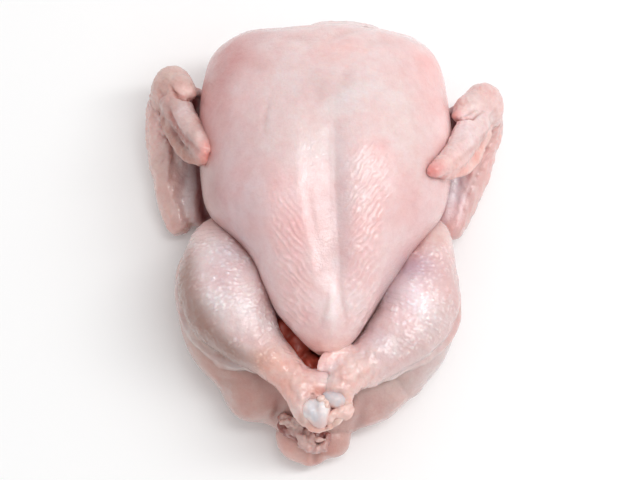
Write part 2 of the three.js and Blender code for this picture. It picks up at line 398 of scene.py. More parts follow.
def surface_net(depth, low, high, cell):
    """Vertices and quads of the surface where the depth is nought: a vertex in each cell of
    a grid that the surface runs through, and a quad round each edge that it crosses."""
    axes = [np.arange(low[k], high[k] + COARSE * cell, cell) for k in range(3)]
    value = depth_on_grid(depth, axes, cell)
    inside = value < 0
    cells = tuple(n - 1 for n in value.shape)
    count = np.zeros(cells, np.int8)
    for i, j, k in CORNERS:
        count += inside[i : i + cells[0], j : j + cells[1], k : k + cells[2]]
    active = (count > 0) & (count < len(CORNERS))
    ids = np.full(cells, -1)
    ids[active] = np.arange(active.sum())
    first = np.array([a[0] for a in axes])
    vertices = first + middle_of_crossings(value, np.argwhere(active)) * cell
    quads = []
    for k in range(3):
        b, c = UNIT[(k + 1) % 3], UNIT[(k + 2) % 3]
        ends = tuple(slice(0, n - s) for n, s in zip(value.shape, UNIT[k]))
        starts = tuple(slice(s, None) for s in UNIT[k])
        change = np.argwhere(inside[ends] != inside[starts])
        for other in ((k + 1) % 3, (k + 2) % 3):
            change = change[(change[:, other] > 0) & (change[:, other] < cells[other])]
        around = (b + c, c, np.zeros(3, int), b)
        loop = np.stack([ids[tuple((change - o).T)] for o in around], 1)
        leaves = inside[tuple(change.T)]
        quads.append(np.where(leaves[:, None], loop, loop[:, ::-1]))
    return vertices, np.concatenate(quads)


def mesh_points(mesh):
    """A mesh's vertices, in millimetres."""
    flat = np.empty(len(mesh.vertices) * 3)
    mesh.vertices.foreach_get("co", flat)
    return flat.reshape(-1, 3) * 1000


def mesh_normals(mesh):
    flat = np.empty(len(mesh.vertices) * 3)
    mesh.vertices.foreach_get("normal", flat)
    return flat.reshape(-1, 3)


def set_mesh_points(mesh, points):
    mesh.vertices.foreach_set("co", (points * 0.001).ravel())
    mesh.update()


def relax(mesh, times):
    """Moves a mesh's vertices halfway to their neighbours' mean, so many times."""
    points = mesh_points(mesh)
    ends = np.empty(len(mesh.edges) * 2, int)
    mesh.edges.foreach_get("vertices", ends)
    a, b = ends.reshape(-1, 2).T
    count = np.bincount(a, minlength=len(points)) + np.bincount(b, minlength=len(points))
    for _ in range(times):
        total = np.zeros_like(points)
        for k in range(3):
            total[:, k] = np.bincount(a, points[b, k], len(points))
            total[:, k] += np.bincount(b, points[a, k], len(points))
        points += 0.5 * (total / count[:, None] - points)
    set_mesh_points(mesh, points)


def settle(mesh, depth, times):
    """Moves a mesh's vertices along their normals onto the surface where depth is nought."""
    for _ in range(times):
        points, normals = mesh_points(mesh), mesh_normals(mesh)
        step = np.clip(depth(points), -1.0, 1.0)
        set_mesh_points(mesh, points - 0.9 * step[:, None] * normals)


def refine(mesh, wanted):
    """Splits each chosen face into four."""
    shape = bmesh.new()
    shape.from_mesh(mesh)
    shape.faces.ensure_lookup_table()
    middles = np.array([f.calc_center_median() for f in shape.faces]) * 1000
    normals = np.array([f.normal for f in shape.faces])
    chosen = wanted(middles, normals)
    edges = {e for f, w in zip(shape.faces, chosen) if w for e in f.edges}
    bmesh.ops.subdivide_edges(shape, edges=list(edges), cuts=1, use_grid_fill=True)
    shape.to_mesh(mesh)
    shape.free()


def grow(name, depth, low, high, cell, finer=()):
    """A piece made of the closed surface where the depth is nought, with the faces that
    each test in finer chooses split into four, one test after another."""
    vertices, quads = surface_net(depth, low, high, cell)
    mesh = bpy.data.meshes.new(name)
    mesh.from_pydata((vertices * 0.001).tolist(), [], quads.tolist())
    relax(mesh, 2)
    settle(mesh, depth, 3)
    for wanted in finer:
        refine(mesh, wanted)
        relax(mesh, 1)
        settle(mesh, depth, 2)
    mesh.polygons.foreach_set("use_smooth", np.ones(len(mesh.polygons), bool))
    piece = bpy.data.objects.new(name, mesh)
    bpy.context.collection.objects.link(piece)
    return piece


def press_out(mesh, height):
    """Moves each vertex along its normal by its height in millimetres."""
    set_mesh_points(mesh, mesh_points(mesh) + height[:, None] * mesh_normals(mesh))


def wavy(points, size, seed):
    """An uneven swell of about this size, from -2 to 2."""
    rng = np.random.default_rng(seed)
    ways = rng.normal(size=(16, 3))
    ways /= np.linalg.norm(ways, axis=1, keepdims=True)
    lengths = size * rng.uniform(0.7, 1.8, 16)
    return np.sin(points @ (ways / lengths[:, None]).T * 2 * np.pi + rng.uniform(0, 7, 16)).sum(1) / 2.8


def from_path(points, path):
    """Distance of each point, seen from above, from a path of x and y, and how far along."""
    path = np.array(path, float)
    best, along = np.full(len(points), 1e9), np.zeros(len(points))
    for i in range(len(path) - 1):
        run = path[i + 1] - path[i]
        t = np.clip((points[:, :2] - path[i]) @ run / (run @ run), 0, 1)
        far = np.linalg.norm(points[:, :2] - path[i] - t[:, None] * run, axis=1)
        closer = far < best
        best[closer], along[closer] = far[closer], (i + t[closer]) / (len(path) - 1)
    return best, along


def folds(points, normals, creases):
    """The depth of creases drawn on the upper side: path, half width, depth and lip."""
    height = np.zeros(len(points))
    for path, width, deep, lip in creases:
        far, along = from_path(points, path)
        fade = np.sin(np.pi * np.clip(along, 0.04, 0.96)) ** 0.6
        cut = np.exp(-((far / width) ** 2))
        brim = np.exp(-(((far - 2 * width) / (1.2 * width)) ** 2))
        height += fade * (lip * brim - deep * cut)
    return height * (normals[:, 2] > 0)


def tract_frame(points):
    """Where points lie in the two feather tracts beside the keel: how far from the tract's
    middle, as a share of its half width, and whether that tract is the left one."""
    x, y = points[:, 0], points[:, 1]
    left = x < keel_line(y)
    middle = np.where(left, -20 + 6.5 * rise(-y, 5, 55), 20.5 - 4 * rise(-y, 5, 55))
    return (x - middle) / np.where(left, 9.5, 11), left


def tract_weight(points, normals):
    across, left = tract_frame(points)
    y = points[:, 1]
    top = np.where(left, 1 - rise(y, -14, 24), 1 - rise(y, 18, 44))
    weight = np.exp(-1.5 * across**4 - 0.5 * across**2) * rise(y, -62, -50) * top
    return weight * (normals[:, 2] > 0.1) * (points[:, 2] > 60)


def shoulder_weight(points, normals):
    """The finely wrinkled skin between the neck and the breast muscles."""
    x, y = points[:, 0], points[:, 1]
    along = rise(y, 40, 62) * (1 - rise(y, 88, 100))
    return np.exp(-((x - 2) / 26) ** 2) * along * (normals[:, 2] > 0.2)


def upper_side(points, normals):
    x, y, z = points.T
    breast = (z > 64) & (normals[:, 2] > 0.36)
    arms = (np.abs(x) > 72) & (y > 4) & (normals[:, 2] > 0.1)
    rump = (y < -72) & (normals[:, 2] > 0)
    return breast | arms | rump


def finely_marked(points, normals):
    marked = (tract_weight(points, normals) > 0.06) | (shoulder_weight(points, normals) > 0.5)
    return marked | ((np.abs(points[:, 0]) > 80) & (points[:, 1] > 44) & (normals[:, 2] > 0.3))


CARCASS_CREASES = [  # path of x and y, half width, depth, raised lip
    ([(-27.5, 62), (-30.5, 50), (-31, 38)], 1.5, 0.36, 0.16),
    ([(-8, 72), (-3, 62), (-2, 50)], 4.0, 0.3, 0.15),
    ([(14, 76), (9, 66), (3, 60)], 4.0, 0.45, 0.25),
    ([(6.5, -32), (8.5, -43), (10.5, -54)], 1.3, 0.55, 0.2),
    ([(2.5, -36), (0.5, -46), (-2.5, -56)], 1.4, 0.45, 0.15),
    ([(-10, 14), (-7.5, 0), (-4.5, -16)], 1.8, 0.32, 0.1),
    ([(-24, 97), (-14, 96), (-6, 91)], 3.0, 0.35, 0.3),
    ([(2, 94), (11, 99), (20, 104)], 3.0, 0.6, 0.5),
    ([(20, 92), (30, 96), (40, 94)], 3.4, 0.4, 0.3),
    ([(-44, 84), (-34, 78), (-24, 80)], 4.0, 0.3, 0.25),
    ([(-93, 74), (-88, 70), (-83, 71)], 1.1, 0.5, 0.3),
    ([(-94, 68), (-89, 64), (-84, 66)], 1.0, 0.45, 0.3),
    ([(-92, 61), (-88, 58), (-84, 60)], 1.0, 0.4, 0.3),
    ([(-88, 72), (-86, 62), (-83, 50), (-83, 36)], 1.4, 0.8, 0.4),
    ([(92, 66), (87, 60), (82, 60)], 1.1, 0.6, 0.3),
    ([(92, 57), (87, 50), (83, 50)], 1.1, 0.6, 0.3),
    ([(90, 48), (85, 42), (82, 36)], 1.1, 0.6, 0.3),
    ([(84, 66), (81, 54), (79, 44)], 1.4, 0.5, 0.3),
    ([(78, 50), (76, 42), (72, 34)], 1.6, 0.5, 0.2),
    ([(85, 40), (80, 32), (77, 24)], 1.2, 0.5, 0.3),
    ([(-27, -100), (-25, -92), (-24, -84)], 2.2, 1.2, 0.4),
    ([(14, -104), (18, -96), (20, -88)], 2.2, 1.0, 0.4),
    ([(-6, -121), (-5.5, -115), (-4, -108)], 1.6, 1.6, 0.4),
    ([(-52, -66), (-40, -70), (-30, -78)], 3.0, 0.6, 0.4),
]

ARM_GAP_DEPTH = 5
ARM_GAPS = [  # path and half width of the deep slit between each upper arm and the breast
    ([(-68, 90), (-70, 74), (-71, 58), (-70, 38), (-67.5, 26), (-64, 14), (-60, 6)], 4.8),
    ([(69, 82), (70, 66), (69.5, 50), (67.5, 36), (65, 26), (61, 16)], 2.6),
]

carcass = grow(
    "carcass_skin",
    carcass_depth,
    low=(-103, -124, -3),
    high=(103, 124, 115),
    cell=2.2,
    finer=(upper_side, finely_marked),
)
carcass_mesh = carcass.data
points, normals = mesh_points(carcass_mesh), mesh_normals(carcass_mesh)
limp = 1 - tract_weight(points, normals)  # the skin is tighter over the feather tracts
height = 0.28 * wavy(points, 30, 3) * limp + 0.05 * wavy(points, 9, 4) * limp
height += folds(points, normals, CARCASS_CREASES)
crossways = points * (0.45, 1.6, 0.6)  # for short wrinkles that run from side to side
height += 0.045 * shoulder_weight(points, normals) * wavy(crossways, 3.2, 5)
arms = (np.abs(points[:, 0]) > 69) & (points[:, 1] > 4) & (points[:, 2] < 56)  # bumpier skin
height += arms * (0.24 * wavy(points * (1.2, 0.6, 1), 6, 6) + 0.13 * wavy(points, 2.4, 7))
rump = rise(-points[:, 1], 62, 80) * (points[:, 2] > 12)  # soft, lumpy fat
height += rump * (0.45 * wavy(points, 17, 8) + 0.08 * wavy(points, 5, 9))
slit = np.zeros(len(points))
for path, width in ARM_GAPS:
    slit = np.maximum(slit, np.exp(-((from_path(points, path)[0] / width) ** 2)))
slit *= (1 - rise(points[:, 2], 36, 48)) * rise(normals[:, 2], 0, 0.4)
height -= ARM_GAP_DEPTH * slit
height *= rise(points[:, 2], 1, 6)  # the underside stays flat on the table
press_out(carcass_mesh, height)

# Its colours, laid on as a tone for each point: paler over the muscle, redder on the flanks.
CARCASS_TONES = {
    "breast": (0.80, 0.61, 0.60),
    "neck": (0.78, 0.59, 0.575),
    "back": (0.58, 0.37, 0.33),
    # the left thigh is darker than the right: painted shade on the side away from the light
    "left_thigh": (0.54, 0.34, 0.29),
    "right_thigh": (0.62, 0.495, 0.475),
    "left_upper_arm": (0.66, 0.52, 0.51),
    "right_upper_arm": (0.66, 0.56, 0.59),
    "left_arm_web": (0.76, 0.60, 0.56),
    "right_arm_web": (0.70, 0.58, 0.60),
    "left_forearm": (0.74, 0.53, 0.48),
    "right_forearm": (0.76, 0.50, 0.47),
}
CARCASS_PATCHES = [  # middle, reach, tone and strength
    ((-58, 66, 62), (20, 44, 48), (0.60, 0.24, 0.23), 0.92),
    ((63, 58, 62), (14, 44, 46), (0.82, 0.44, 0.43), 0.75),
    ((-44, 6, 78), (20, 36, 40), (0.68, 0.45, 0.47), 0.7),
    ((48, 2, 84), (14, 22, 30), (0.76, 0.46, 0.46), 0.8),
    ((6, 44, 106), (34, 30, 30), (0.80, 0.66, 0.65), 0.6),
    ((2, 64, 106), (20, 16, 20), (0.70, 0.60, 0.59), 0.75),
    ((5, 92, 90), (18, 16, 30), (0.84, 0.56, 0.53), 0.6),
    ((-12, 40, 106), (18, 14, 20), (0.76, 0.63, 0.61), 0.6),
    ((40, 42, 100), (18, 34, 24), (0.76, 0.58, 0.55), 0.6),
    ((27, 33, 104), (7, 5, 20), (0.80, 0.46, 0.46), 0.45),
    ((31, 14, 104), (8, 14, 20), (0.84, 0.55, 0.54), 0.5),
    ((-52, 94, 72), (14, 14, 26), (0.61, 0.28, 0.27), 0.85),
    ((-59, 79, 72), (8, 10, 18), (0.55, 0.24, 0.22), 0.6),
    ((-36, 101, 72), (14, 8, 20), (0.66, 0.40, 0.40), 0.75),
    ((-43, 62, 90), (7, 14, 12), (0.86, 0.66, 0.66), 0.5),
    # painted shade on the breast's left wall, in the deep gap beside the left wing
    ((-60, 16, 80), (8, 16, 16), (0.45, 0.23, 0.23), 0.85),
    ((56, 87, 70), (12, 14, 24), (0.86, 0.45, 0.43), 0.85),
    ((64, 50, 73), (6, 11, 12), (1.0, 0.80, 0.78), 0.85),
    ((2, 5, 104), (7, 11, 14), (0.68, 0.48, 0.48), 0.5),
    ((0, -66, 75), (20, 8, 15), (1.0, 0.60, 0.54), 0.9),
    # a pale streak along the keel's tip: partly its paler skin, partly a painted highlight along the ridge
    ((4, -48, 94), (3.5, 13, 10), (0.98, 0.84, 0.83), 0.75),
    ((-19, -8, 98), (10, 28, 20), (1.0, 0.66, 0.66), 0.9),
    ((-12, -48, 90), (10, 14, 16), (0.98, 0.70, 0.69), 0.7),
    # painted shade deepens the rump's tone under and beside both drumsticks
    ((-38, -84, 30), (22, 18, 26), (0.54, 0.31, 0.26), 0.7),
    ((-49, -76, 34), (8, 8, 10), (0.46, 0.26, 0.23), 0.7),
    ((34, -80, 30), (18, 14, 22), (0.66, 0.51, 0.48), 0.7),
    # painted shadow under the right drumstick's loose fold of skin
    ((34, -77, 41), (14, 5, 7), (0.50, 0.35, 0.31), 0.6),
    ((-14, -109, 20), (14, 12, 14), (0.82, 0.46, 0.39), 0.85),
    ((7, -107, 23), (9, 10, 13), (0.58, 0.36, 0.31), 0.85),
    ((-2.8, -112.5, 21), (7, 6, 10), (0.56, 0.29, 0.24), 0.8),
    ((-90, 88, 40), (10, 12, 14), (0.72, 0.50, 0.44), 0.7),
    ((-82, 10, 14), (8, 12, 14), (0.74, 0.46, 0.41), 0.7),
    ((90, 62, 30), (7, 22, 22), (0.78, 0.47, 0.43), 0.6),
    ((74, 6, 14), (8, 9, 14), (0.60, 0.38, 0.35), 0.6),
    ((73, 30, 23), (5, 15, 12), (0.86, 0.76, 0.80), 0.85),
    ((79.5, 21, 23), (4, 12, 12), (0.68, 0.45, 0.43), 0.6),
    ((-90, 63, 33), (5, 14, 11), (0.94, 0.74, 0.70), 0.75),
    ((-77, 34, 18), (4, 18, 12), (0.68, 0.60, 0.61), 0.6),
    # painted shade down the breast's left side, behind the left wing and its web
    ((-64, 20, 58), (9, 30, 34), (0.50, 0.27, 0.24), 0.75),
]
FLESH_RED = (0.44, 0.13, 0.10)
TRACT_BLUSH = (0.85, 0.50, 0.48)
TRACT_PINK = (0.82, 0.585, 0.575)
KEEL_VALLEY_SHADE = (0.68, 0.51, 0.52)
CREASE_PAINTED_SHADE = (0.52, 0.28, 0.25)
ARM_GAP_PAINTED_SHADE = (0.13, 0.015, 0.015)


def blend_tones(points, tones, depths, patches):
    """The tone of the nearest bodies at each point, with soft patches laid over it."""
    share = np.stack([np.exp(-np.maximum(depths[name], 0) / 1.6) for name in tones], 1) + 1e-9
    share /= share.sum(1, keepdims=True)
    tone = share @ np.array(list(tones.values()))
    for middle, reach, colour, strength in patches:
        off = (points - np.array(middle)) / np.array(reach)
        weight = strength * np.exp(-np.einsum("ij,ij->i", off, off))[:, None]
        tone = tone * (1 - weight) + np.array(colour) * weight
    return tone


def lay(tone, colour, weight):
    """Lays a colour over a tone, with a weight from 0 to 1 for each point."""
    return tone * (1 - weight[:, None]) + np.array(colour) * weight[:, None]


def store(mesh, name, values):
    """Keeps a value, or a colour, for each vertex of a mesh."""
    if values.ndim == 1:
        mesh.attributes.new(name, "FLOAT", "POINT").data.foreach_set("value", values.astype(np.float32))
        return
    colours = np.ones((len(values), 4))
    colours[:, :3] = values
    mesh.attributes.new(name, "FLOAT_COLOR", "POINT").data.foreach_set("color", colours.ravel())


def carcass_tone(points):
    """The carcass's tone, which the drumsticks and the hands run into at their roots."""
    depths = {name: part_depth(points, name) for name in CARCASS_TONES}
    return blend_tones(points, CARCASS_TONES, depths, CARCASS_PATCHES)


tone = carcass_tone(points)
across, left = tract_frame(points)
tract = tract_weight(points, normals)
# A blush down both sides of each feather tract, then a thin pink over the whole of it.
blush = np.where(left, 0.7, 0.35) * (0.6 + 0.3 * wavy(points, 16, 10))
beside_middle = np.exp(-((np.abs(across) - 0.5) / 0.6) ** 2)
tone = lay(tone, TRACT_BLUSH, np.clip(blush, 0, 0.8) * beside_middle * tract)
tone = lay(tone, TRACT_PINK, 0.3 * tract)
# Painted shade in the valley beside the keel, the raw red walls of the hollow, and painted shade in the
# creases and slits.
valley = np.exp(-((points[:, 0] - keel_line(points[:, 1]) - 7) / 4.5) ** 2) * rise(points[:, 1], -45, -20)
tone = lay(tone, KEEL_VALLEY_SHADE, 0.6 * valley * (1 - rise(points[:, 1], 15, 60)) * (points[:, 2] > 70))
hollow = np.minimum(part_depth(points, "cavity"), part_depth(points, "slot"))
tone = lay(tone, FLESH_RED, rise(-hollow, -1.4, 0.6))
creased = np.clip(-folds(points, normals, CARCASS_CREASES), 0, 1)
# painted shade in the bottoms of the creases
tone = lay(tone, CREASE_PAINTED_SHADE, 0.45 * creased)
# painted shade, near black, down in the slits between the upper arms and the breast
tone = lay(tone, ARM_GAP_PAINTED_SHADE, 0.97 * np.clip(1.4 * slit, 0, 1))
store(carcass_mesh, "tone", tone)
# The rows of follicles lean forwards and away from the keel on either side of it.
lean = np.where(left, 0.56 + 0.2 * rise(-points[:, 1], 0, 55), -0.62)
store(carcass_mesh, "row_across", points[:, 0] * np.cos(lean) + points[:, 1] * np.sin(lean))
store(carcass_mesh, "row_along", points[:, 0] * np.sin(lean) - points[:, 1] * np.cos(lean))
store(carcass_mesh, "row_weight", tract)


class Tree:
    """A few short ways to place and link the nodes of a material or a geometry tree."""

    def __init__(self, tree):
        self.tree = tree

    def add(self, kind, inputs=None, **settings):
        node = self.tree.nodes.new(kind)
        for name, value in settings.items():
            setattr(node, name, value)
        for key, value in (inputs or {}).items():
            if isinstance(value, bpy.types.NodeSocket):
                self.tree.links.new(value, node.inputs[key])
            else:
                node.inputs[key].default_value = value
        return node

    def math(self, kind, a, b=0.0, c=0.0, node="ShaderNodeMath"):
        return self.add(node, {0: a, 1: b, 2: c}, operation=kind).outputs[0]

    def ranged(self, value, low, high, to_low=0.0, to_high=1.0):
        ends = {"Value": value, "From Min": low, "From Max": high, "To Min": to_low, "To Max": to_high}
        return self.add("ShaderNodeMapRange", ends).outputs["Result"]

    def mix(self, kind, share, a, b):
        made = self.add("ShaderNodeMix", {"Factor": share}, data_type="RGBA", blend_type=kind)
        for key, value in (("A", a), ("B", b)):
            socket = next(s for s in made.inputs if s.name == key and s.type == "RGBA")
            if isinstance(value, tuple):
                socket.default_value = value
            else:
                self.tree.links.new(value, socket)
        return next(s for s in made.outputs if s.type == "RGBA")


def feather_rows():
    """Raises the rows of small follicles that feathers leave in the skin. It reads where a
    point lies across and along the rows, and how strongly the rows show there."""
    group = bpy.data.node_groups.new("feather_rows", "GeometryNodeTree")
    face = group.interface
    face.new_socket("Geometry", in_out="INPUT", socket_type="NodeSocketGeometry")
    for name in ("Row Spacing", "Dot Spacing", "Height", "Ridge", "Waver", "Scatter", "Seed"):
        face.new_socket(name, in_out="INPUT", socket_type="NodeSocketFloat")
    face.new_socket("Skin", in_out="INPUT", socket_type="NodeSocketMaterial")
    face.new_socket("Geometry", in_out="OUTPUT", socket_type="NodeSocketGeometry")
    t = Tree(group)
    given = t.add("NodeGroupInput").outputs
    across, along, weight = (
        t.add("GeometryNodeInputNamedAttribute", {"Name": name}, data_type="FLOAT").outputs["Attribute"]
        for name in ("row_across", "row_along", "row_weight")
    )
    noise = {"Scale": 110.0, "Detail": 1.0, "W": given["Seed"]}
    sway = t.add("ShaderNodeTexNoise", noise, noise_dimensions="4D").outputs[0]
    noise = {"Scale": 330.0, "Detail": 1.0, "W": given["Seed"]}
    jitter = t.add("ShaderNodeTexNoise", noise, noise_dimensions="4D").outputs[0]
    sway = t.math("MULTIPLY", t.math("SUBTRACT", sway, 0.5), given["Waver"])
    row = t.math("ADD", t.math("DIVIDE", across, given["Row Spacing"]), sway)
    crest = t.math("COSINE", t.math("MULTIPLY", row, 2 * math.pi))
    crest = t.math("POWER", t.math("MULTIPLY_ADD", crest, 0.5, 0.5), 1.6)
    dot = t.math("DIVIDE", along, given["Dot Spacing"])
    place = t.add("ShaderNodeCombineXYZ", {"X": row, "Y": dot}).outputs[0]
    cells = {"Vector": place, "Scale": 1.0, "Randomness": given["Scatter"]}
    cells = t.add("ShaderNodeTexVoronoi", cells, voronoi_dimensions="2D").outputs
    bead = t.ranged(cells["Distance"], 0.52, 0.08)
    bead = t.math("MULTIPLY", bead, t.math("MULTIPLY_ADD", cells["Color"], 1.3, 0.35))
    shape = t.math("MULTIPLY_ADD", crest, given["Ridge"], bead)
    uneven = t.ranged(jitter, 0.3, 0.7, 0.35, 1.3)
    raised = t.math("MULTIPLY", t.math("MULTIPLY", shape, uneven), weight)
    keep = {"Geometry": given["Geometry"], "Name": "raised", "Value": raised}
    kept = t.add("GeometryNodeStoreNamedAttribute", keep, data_type="FLOAT", domain="POINT")
    lift = t.math("MULTIPLY", raised, t.math("MULTIPLY", given["Height"], 0.001))
    normal = t.add("GeometryNodeInputNormal").outputs[0]
    offset = t.add("ShaderNodeVectorMath", {0: normal, "Scale": lift}, operation="SCALE").outputs[0]
    moved = t.add("GeometryNodeSetPosition", {"Geometry": kept.outputs["Geometry"], "Offset": offset})
    whole = t.add("GeometryNodeRealizeInstances", {"Geometry": moved.outputs["Geometry"]})
    dressed = {"Geometry": whole.outputs["Geometry"], "Material": given["Skin"]}
    dressed = t.add("GeometryNodeSetMaterial", dressed)
    t.add("NodeGroupOutput", {"Geometry": dressed.outputs["Geometry"]})
    return group


FEATHER_ROWS = feather_rows()


def raise_rows(piece, sizes):
    """Runs the feather rows over a piece with these sizes, in millimetres, and makes the
    result its plain mesh."""
    modifier = piece.modifiers.new("feather_rows", "NODES")
    modifier.node_group = FEATHER_ROWS
    for item in FEATHER_ROWS.interface.items_tree:
        if item.in_out == "INPUT" and item.name in sizes:
            modifier[item.identifier] = sizes[item.name]
    seen = piece.evaluated_get(bpy.context.evaluated_depsgraph_get())
    made = bpy.data.meshes.new_from_object(seen)
    piece.modifiers.remove(modifier)
    made.name = piece.name
    piece.data = made


def set_finish(shader, values):
    for name, value in values.items():
        shader.inputs[name].default_value = value


def skin_material(name, mottling, wet, crest_pale_and_highlight=0.35):
    """Moist skin: the tone, mottled, with light scattered under a wet film. The crest share is how
    much paler the raised follicles are, partly their own paler skin, partly a painted highlight."""
    made = bpy.data.materials.new(name)
    made.use_nodes = True
    t = Tree(made.node_tree)
    place = t.add("ShaderNodeTexCoord").outputs["Object"]
    tone = t.add("ShaderNodeAttribute", attribute_name="tone").outputs["Color"]
    raised = t.add("ShaderNodeAttribute", attribute_name="raised").outputs["Fac"]

    def noise(scale, detail, roughness=0.55):
        inputs = {"Vector": place, "Scale": scale, "Detail": detail, "Roughness": roughness}
        return t.add("ShaderNodeTexNoise", inputs).outputs[0]

    cloudy = t.ranged(noise(55.0, 3.0), 0.35, 0.68)
    rosy = t.mix("MULTIPLY", 1.0, tone, (1.01, 0.90, 0.90, 1))
    pale = t.mix("MULTIPLY", 1.0, tone, (1.02, 1.06, 1.07, 1))
    colour = t.mix("MIX", cloudy, pale, rosy)
    blotchy = t.ranged(noise(190.0, 4.0, 0.62), 0.42, 0.72, 0.0, mottling)
    colour = t.mix("MIX", blotchy, colour, t.mix("MULTIPLY", 1.0, colour, (0.90, 0.80, 0.80, 1)))
    grain = t.ranged(noise(1100.0, 2.0), 0.35, 0.7, 0.0, 0.7)
    colour = t.mix("MIX", grain, colour, t.mix("MULTIPLY", 1.0, colour, (0.95, 0.91, 0.91, 1)))
    # the raised follicles are lightened: partly paler skin, partly a painted highlight on their tops
    crest = t.ranged(raised, 0.25, 1.0, 0.0, crest_pale_and_highlight)
    colour = t.mix("MIX", crest, colour, t.mix("MULTIPLY", 1.0, colour, (1.16, 1.28, 1.29, 1)))
    shader = made.node_tree.nodes["Principled BSDF"]
    made.node_tree.links.new(colour, shader.inputs["Base Color"])
    scatter = {"Subsurface Weight": 0.3, "Subsurface Radius": (1.0, 0.38, 0.25), "Subsurface Scale": 0.005}
    set_finish(shader, {**scatter, "Coat Weight": wet, "Coat Roughness": 0.08})
    rough = t.ranged(noise(150.0, 3.0), 0.35, 0.65, 0.33, 0.5)
    made.node_tree.links.new(rough, shader.inputs["Roughness"])
    fine = t.math("MULTIPLY_ADD", noise(1400.0, 2.0), 0.35, noise(480.0, 4.0, 0.6))
    bump = t.add("ShaderNodeBump", {"Strength": 0.6, "Distance": 0.0005, "Height": fine})
    made.node_tree.links.new(bump.outputs["Normal"], shader.inputs["Normal"])
    made.node_tree.links.new(bump.outputs["Normal"], shader.inputs["Coat Normal"])
    return made


CARCASS_SKIN = skin_material("carcass_skin", mottling=0.55, wet=0.9)
TRACT_SIZES = {
    "Row Spacing": 2.6,
    "Dot Spacing": 4.6,
    "Height": 0.36,
    "Ridge": 0.9,
    "Waver": 2.2,
    "Scatter": 0.5,
    "Seed": 3.0,
}
raise_rows(carcass, {**TRACT_SIZES, "Skin": CARCASS_SKIN})


def lay_painted_shade(mesh, share, colour=(0.50, 0.24, 0.22)):
    """Lays painted shade, a deep red, over a mesh's tone where its share is high, along the line where two
    skins meet.
    """
    flat = np.empty(len(mesh.vertices) * 4)
    mesh.attributes["tone"].data.foreach_get("color", flat)
    colours = flat.reshape(-1, 4)
    colours[:, :3] = lay(colours[:, :3], colour, share)
    mesh.attributes["tone"].data.foreach_set("color", colours.ravel())


def hand_in(piece):
    """Gives a finished piece its place in the frame, as part of the whole bird."""
    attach(piece, "root")
    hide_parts("whole_chicken")


hand_in(carcass)

# ---------------------------------------------------------------------------------------
# The drumsticks, folded over the thighs with their ankles crossed under the breast's
# point. Each is a piece of its own that sinks into the thigh's skin, so that the line
# where it presses against the breast stays sharp.

DRUMSTICKS = {
    "left": [
        (-56, 9, 46, 8, 8, 9),
        (-57.5, -4, 48, 14.5, 13.5, 14),
        (-56, -19, 52.5, 21.3, 18.5, 20),
        (-51.5, -34.5, 55.5, 24.2, 20.5, 22.5),
        (-43.8, -49.5, 58, 20.4, 18, 20),
        (-31.8, -64.3, 60, 13, 13.2, 13),
        (-18.5, -77, 65, 9.6, 9, 9.5),
        (-12, -85, 67.5, 9.8, 8.5, 9),
        (-7, -94.5, 67, 10, 8, 10),
        (-4.5, -101.5, 63, 9, 4.5, 9),
    ],
    "right": [
        (58.5, 8, 45, 7, 7, 8),
        (57, -4, 48, 10.8, 12, 13),
        (53.8, -19, 51, 15.6, 16, 18),
        (50.2, -36, 53, 20.4, 19, 20),
        (42.3, -51, 55.5, 18.7, 17, 18),
        (27, -66, 59.5, 13.5, 13, 13),
        (13.5, -76, 64.5, 10.5, 9.2, 9.5),
        (7.5, -84, 67, 9, 7.8, 8.5),
        (6.5, -91.5, 66, 7, 5.5, 8),
        (6, -97.5, 63, 6, 4, 7),
    ],
}
LEG_WEBS = {  # the loose fold of thin skin along each drumstick's outer side
    "left": [
        (-77.5, -22, 46, 1.6, 1.6, 3),
        (-76.5, -34, 43, 2.0, 1.8, 4),
        (-73, -44.5, 41, 2.6, 1.8, 4),
        (-67.5, -53, 41, 2.6, 1.6, 4),
        (-59, -61, 43, 2.6, 1.4, 4),
        (-46, -69, 47, 2.2, 1.2, 4),
        (-34, -73.5, 53, 1.8, 1.2, 3),
        (-26, -76, 58, 1.2, 1.0, 2),
    ],
    "right": [
        (70.5, -30, 46, 1.6, 1.6, 3),
        (69, -45, 43, 2.0, 1.8, 4),
        (63.5, -55, 42, 2.6, 1.8, 4),
        (56, -62, 43, 2.8, 1.8, 4),
        (47, -67.5, 46, 2.8, 1.8, 4),
        (37.5, -73, 50, 2.6, 1.8, 4),
        (28, -78, 56, 2.0, 1.6, 3),
        (20, -81.5, 61, 1.2, 1.2, 2),
    ],
}
ANKLE_FLAP = [  # loose skin between the point of the breast and the right ankle
    (12, -62, 67, 3.5, 1.6, 3),
    (6.5, -67, 70, 5, 1.6, 4),
    (0.8, -71.5, 71, 4.4, 1.3, 4),
    (-4.6, -75.8, 71, 1.8, 0.9, 3),
]
INSTEP = ((-3, -81, 66.3), (9.5, 6.5, 5.5))  # where the two crossed shanks press together
CUFF = [  # the rim of the cut skin around both ankles
    (-16.5, -89, 69, 1.8, 1.8, 3),
    (-14.5, -95.5, 67.5, 2.0, 1.8, 3),
    (-10.5, -101, 66.5, 2.1, 1.9, 3),
    (-5, -104.6, 66.5, 2.3, 2.0, 3),
    (0.5, -104.4, 67, 2.2, 2.0, 3),
    (5.5, -101.4, 68, 2.0, 1.9, 3),
    (10, -97, 68, 2.0, 2.0, 3),
    (12, -91, 68, 1.8, 1.8, 3),
]
ANKLE_BOWLS = {
    "left": ((-4.5, -97, 77.5), (8.4, 7.8, 8)),
    "right": ((4.8, -91, 75), (5.4, 4.2, 4.4)),
}


UNDER_SKIN = 1.2  # how far below the carcass's skin the root of a limb lies
LEG_STEPS = 40
LEG_RADIUS = 15  # about half a drumstick's thickness


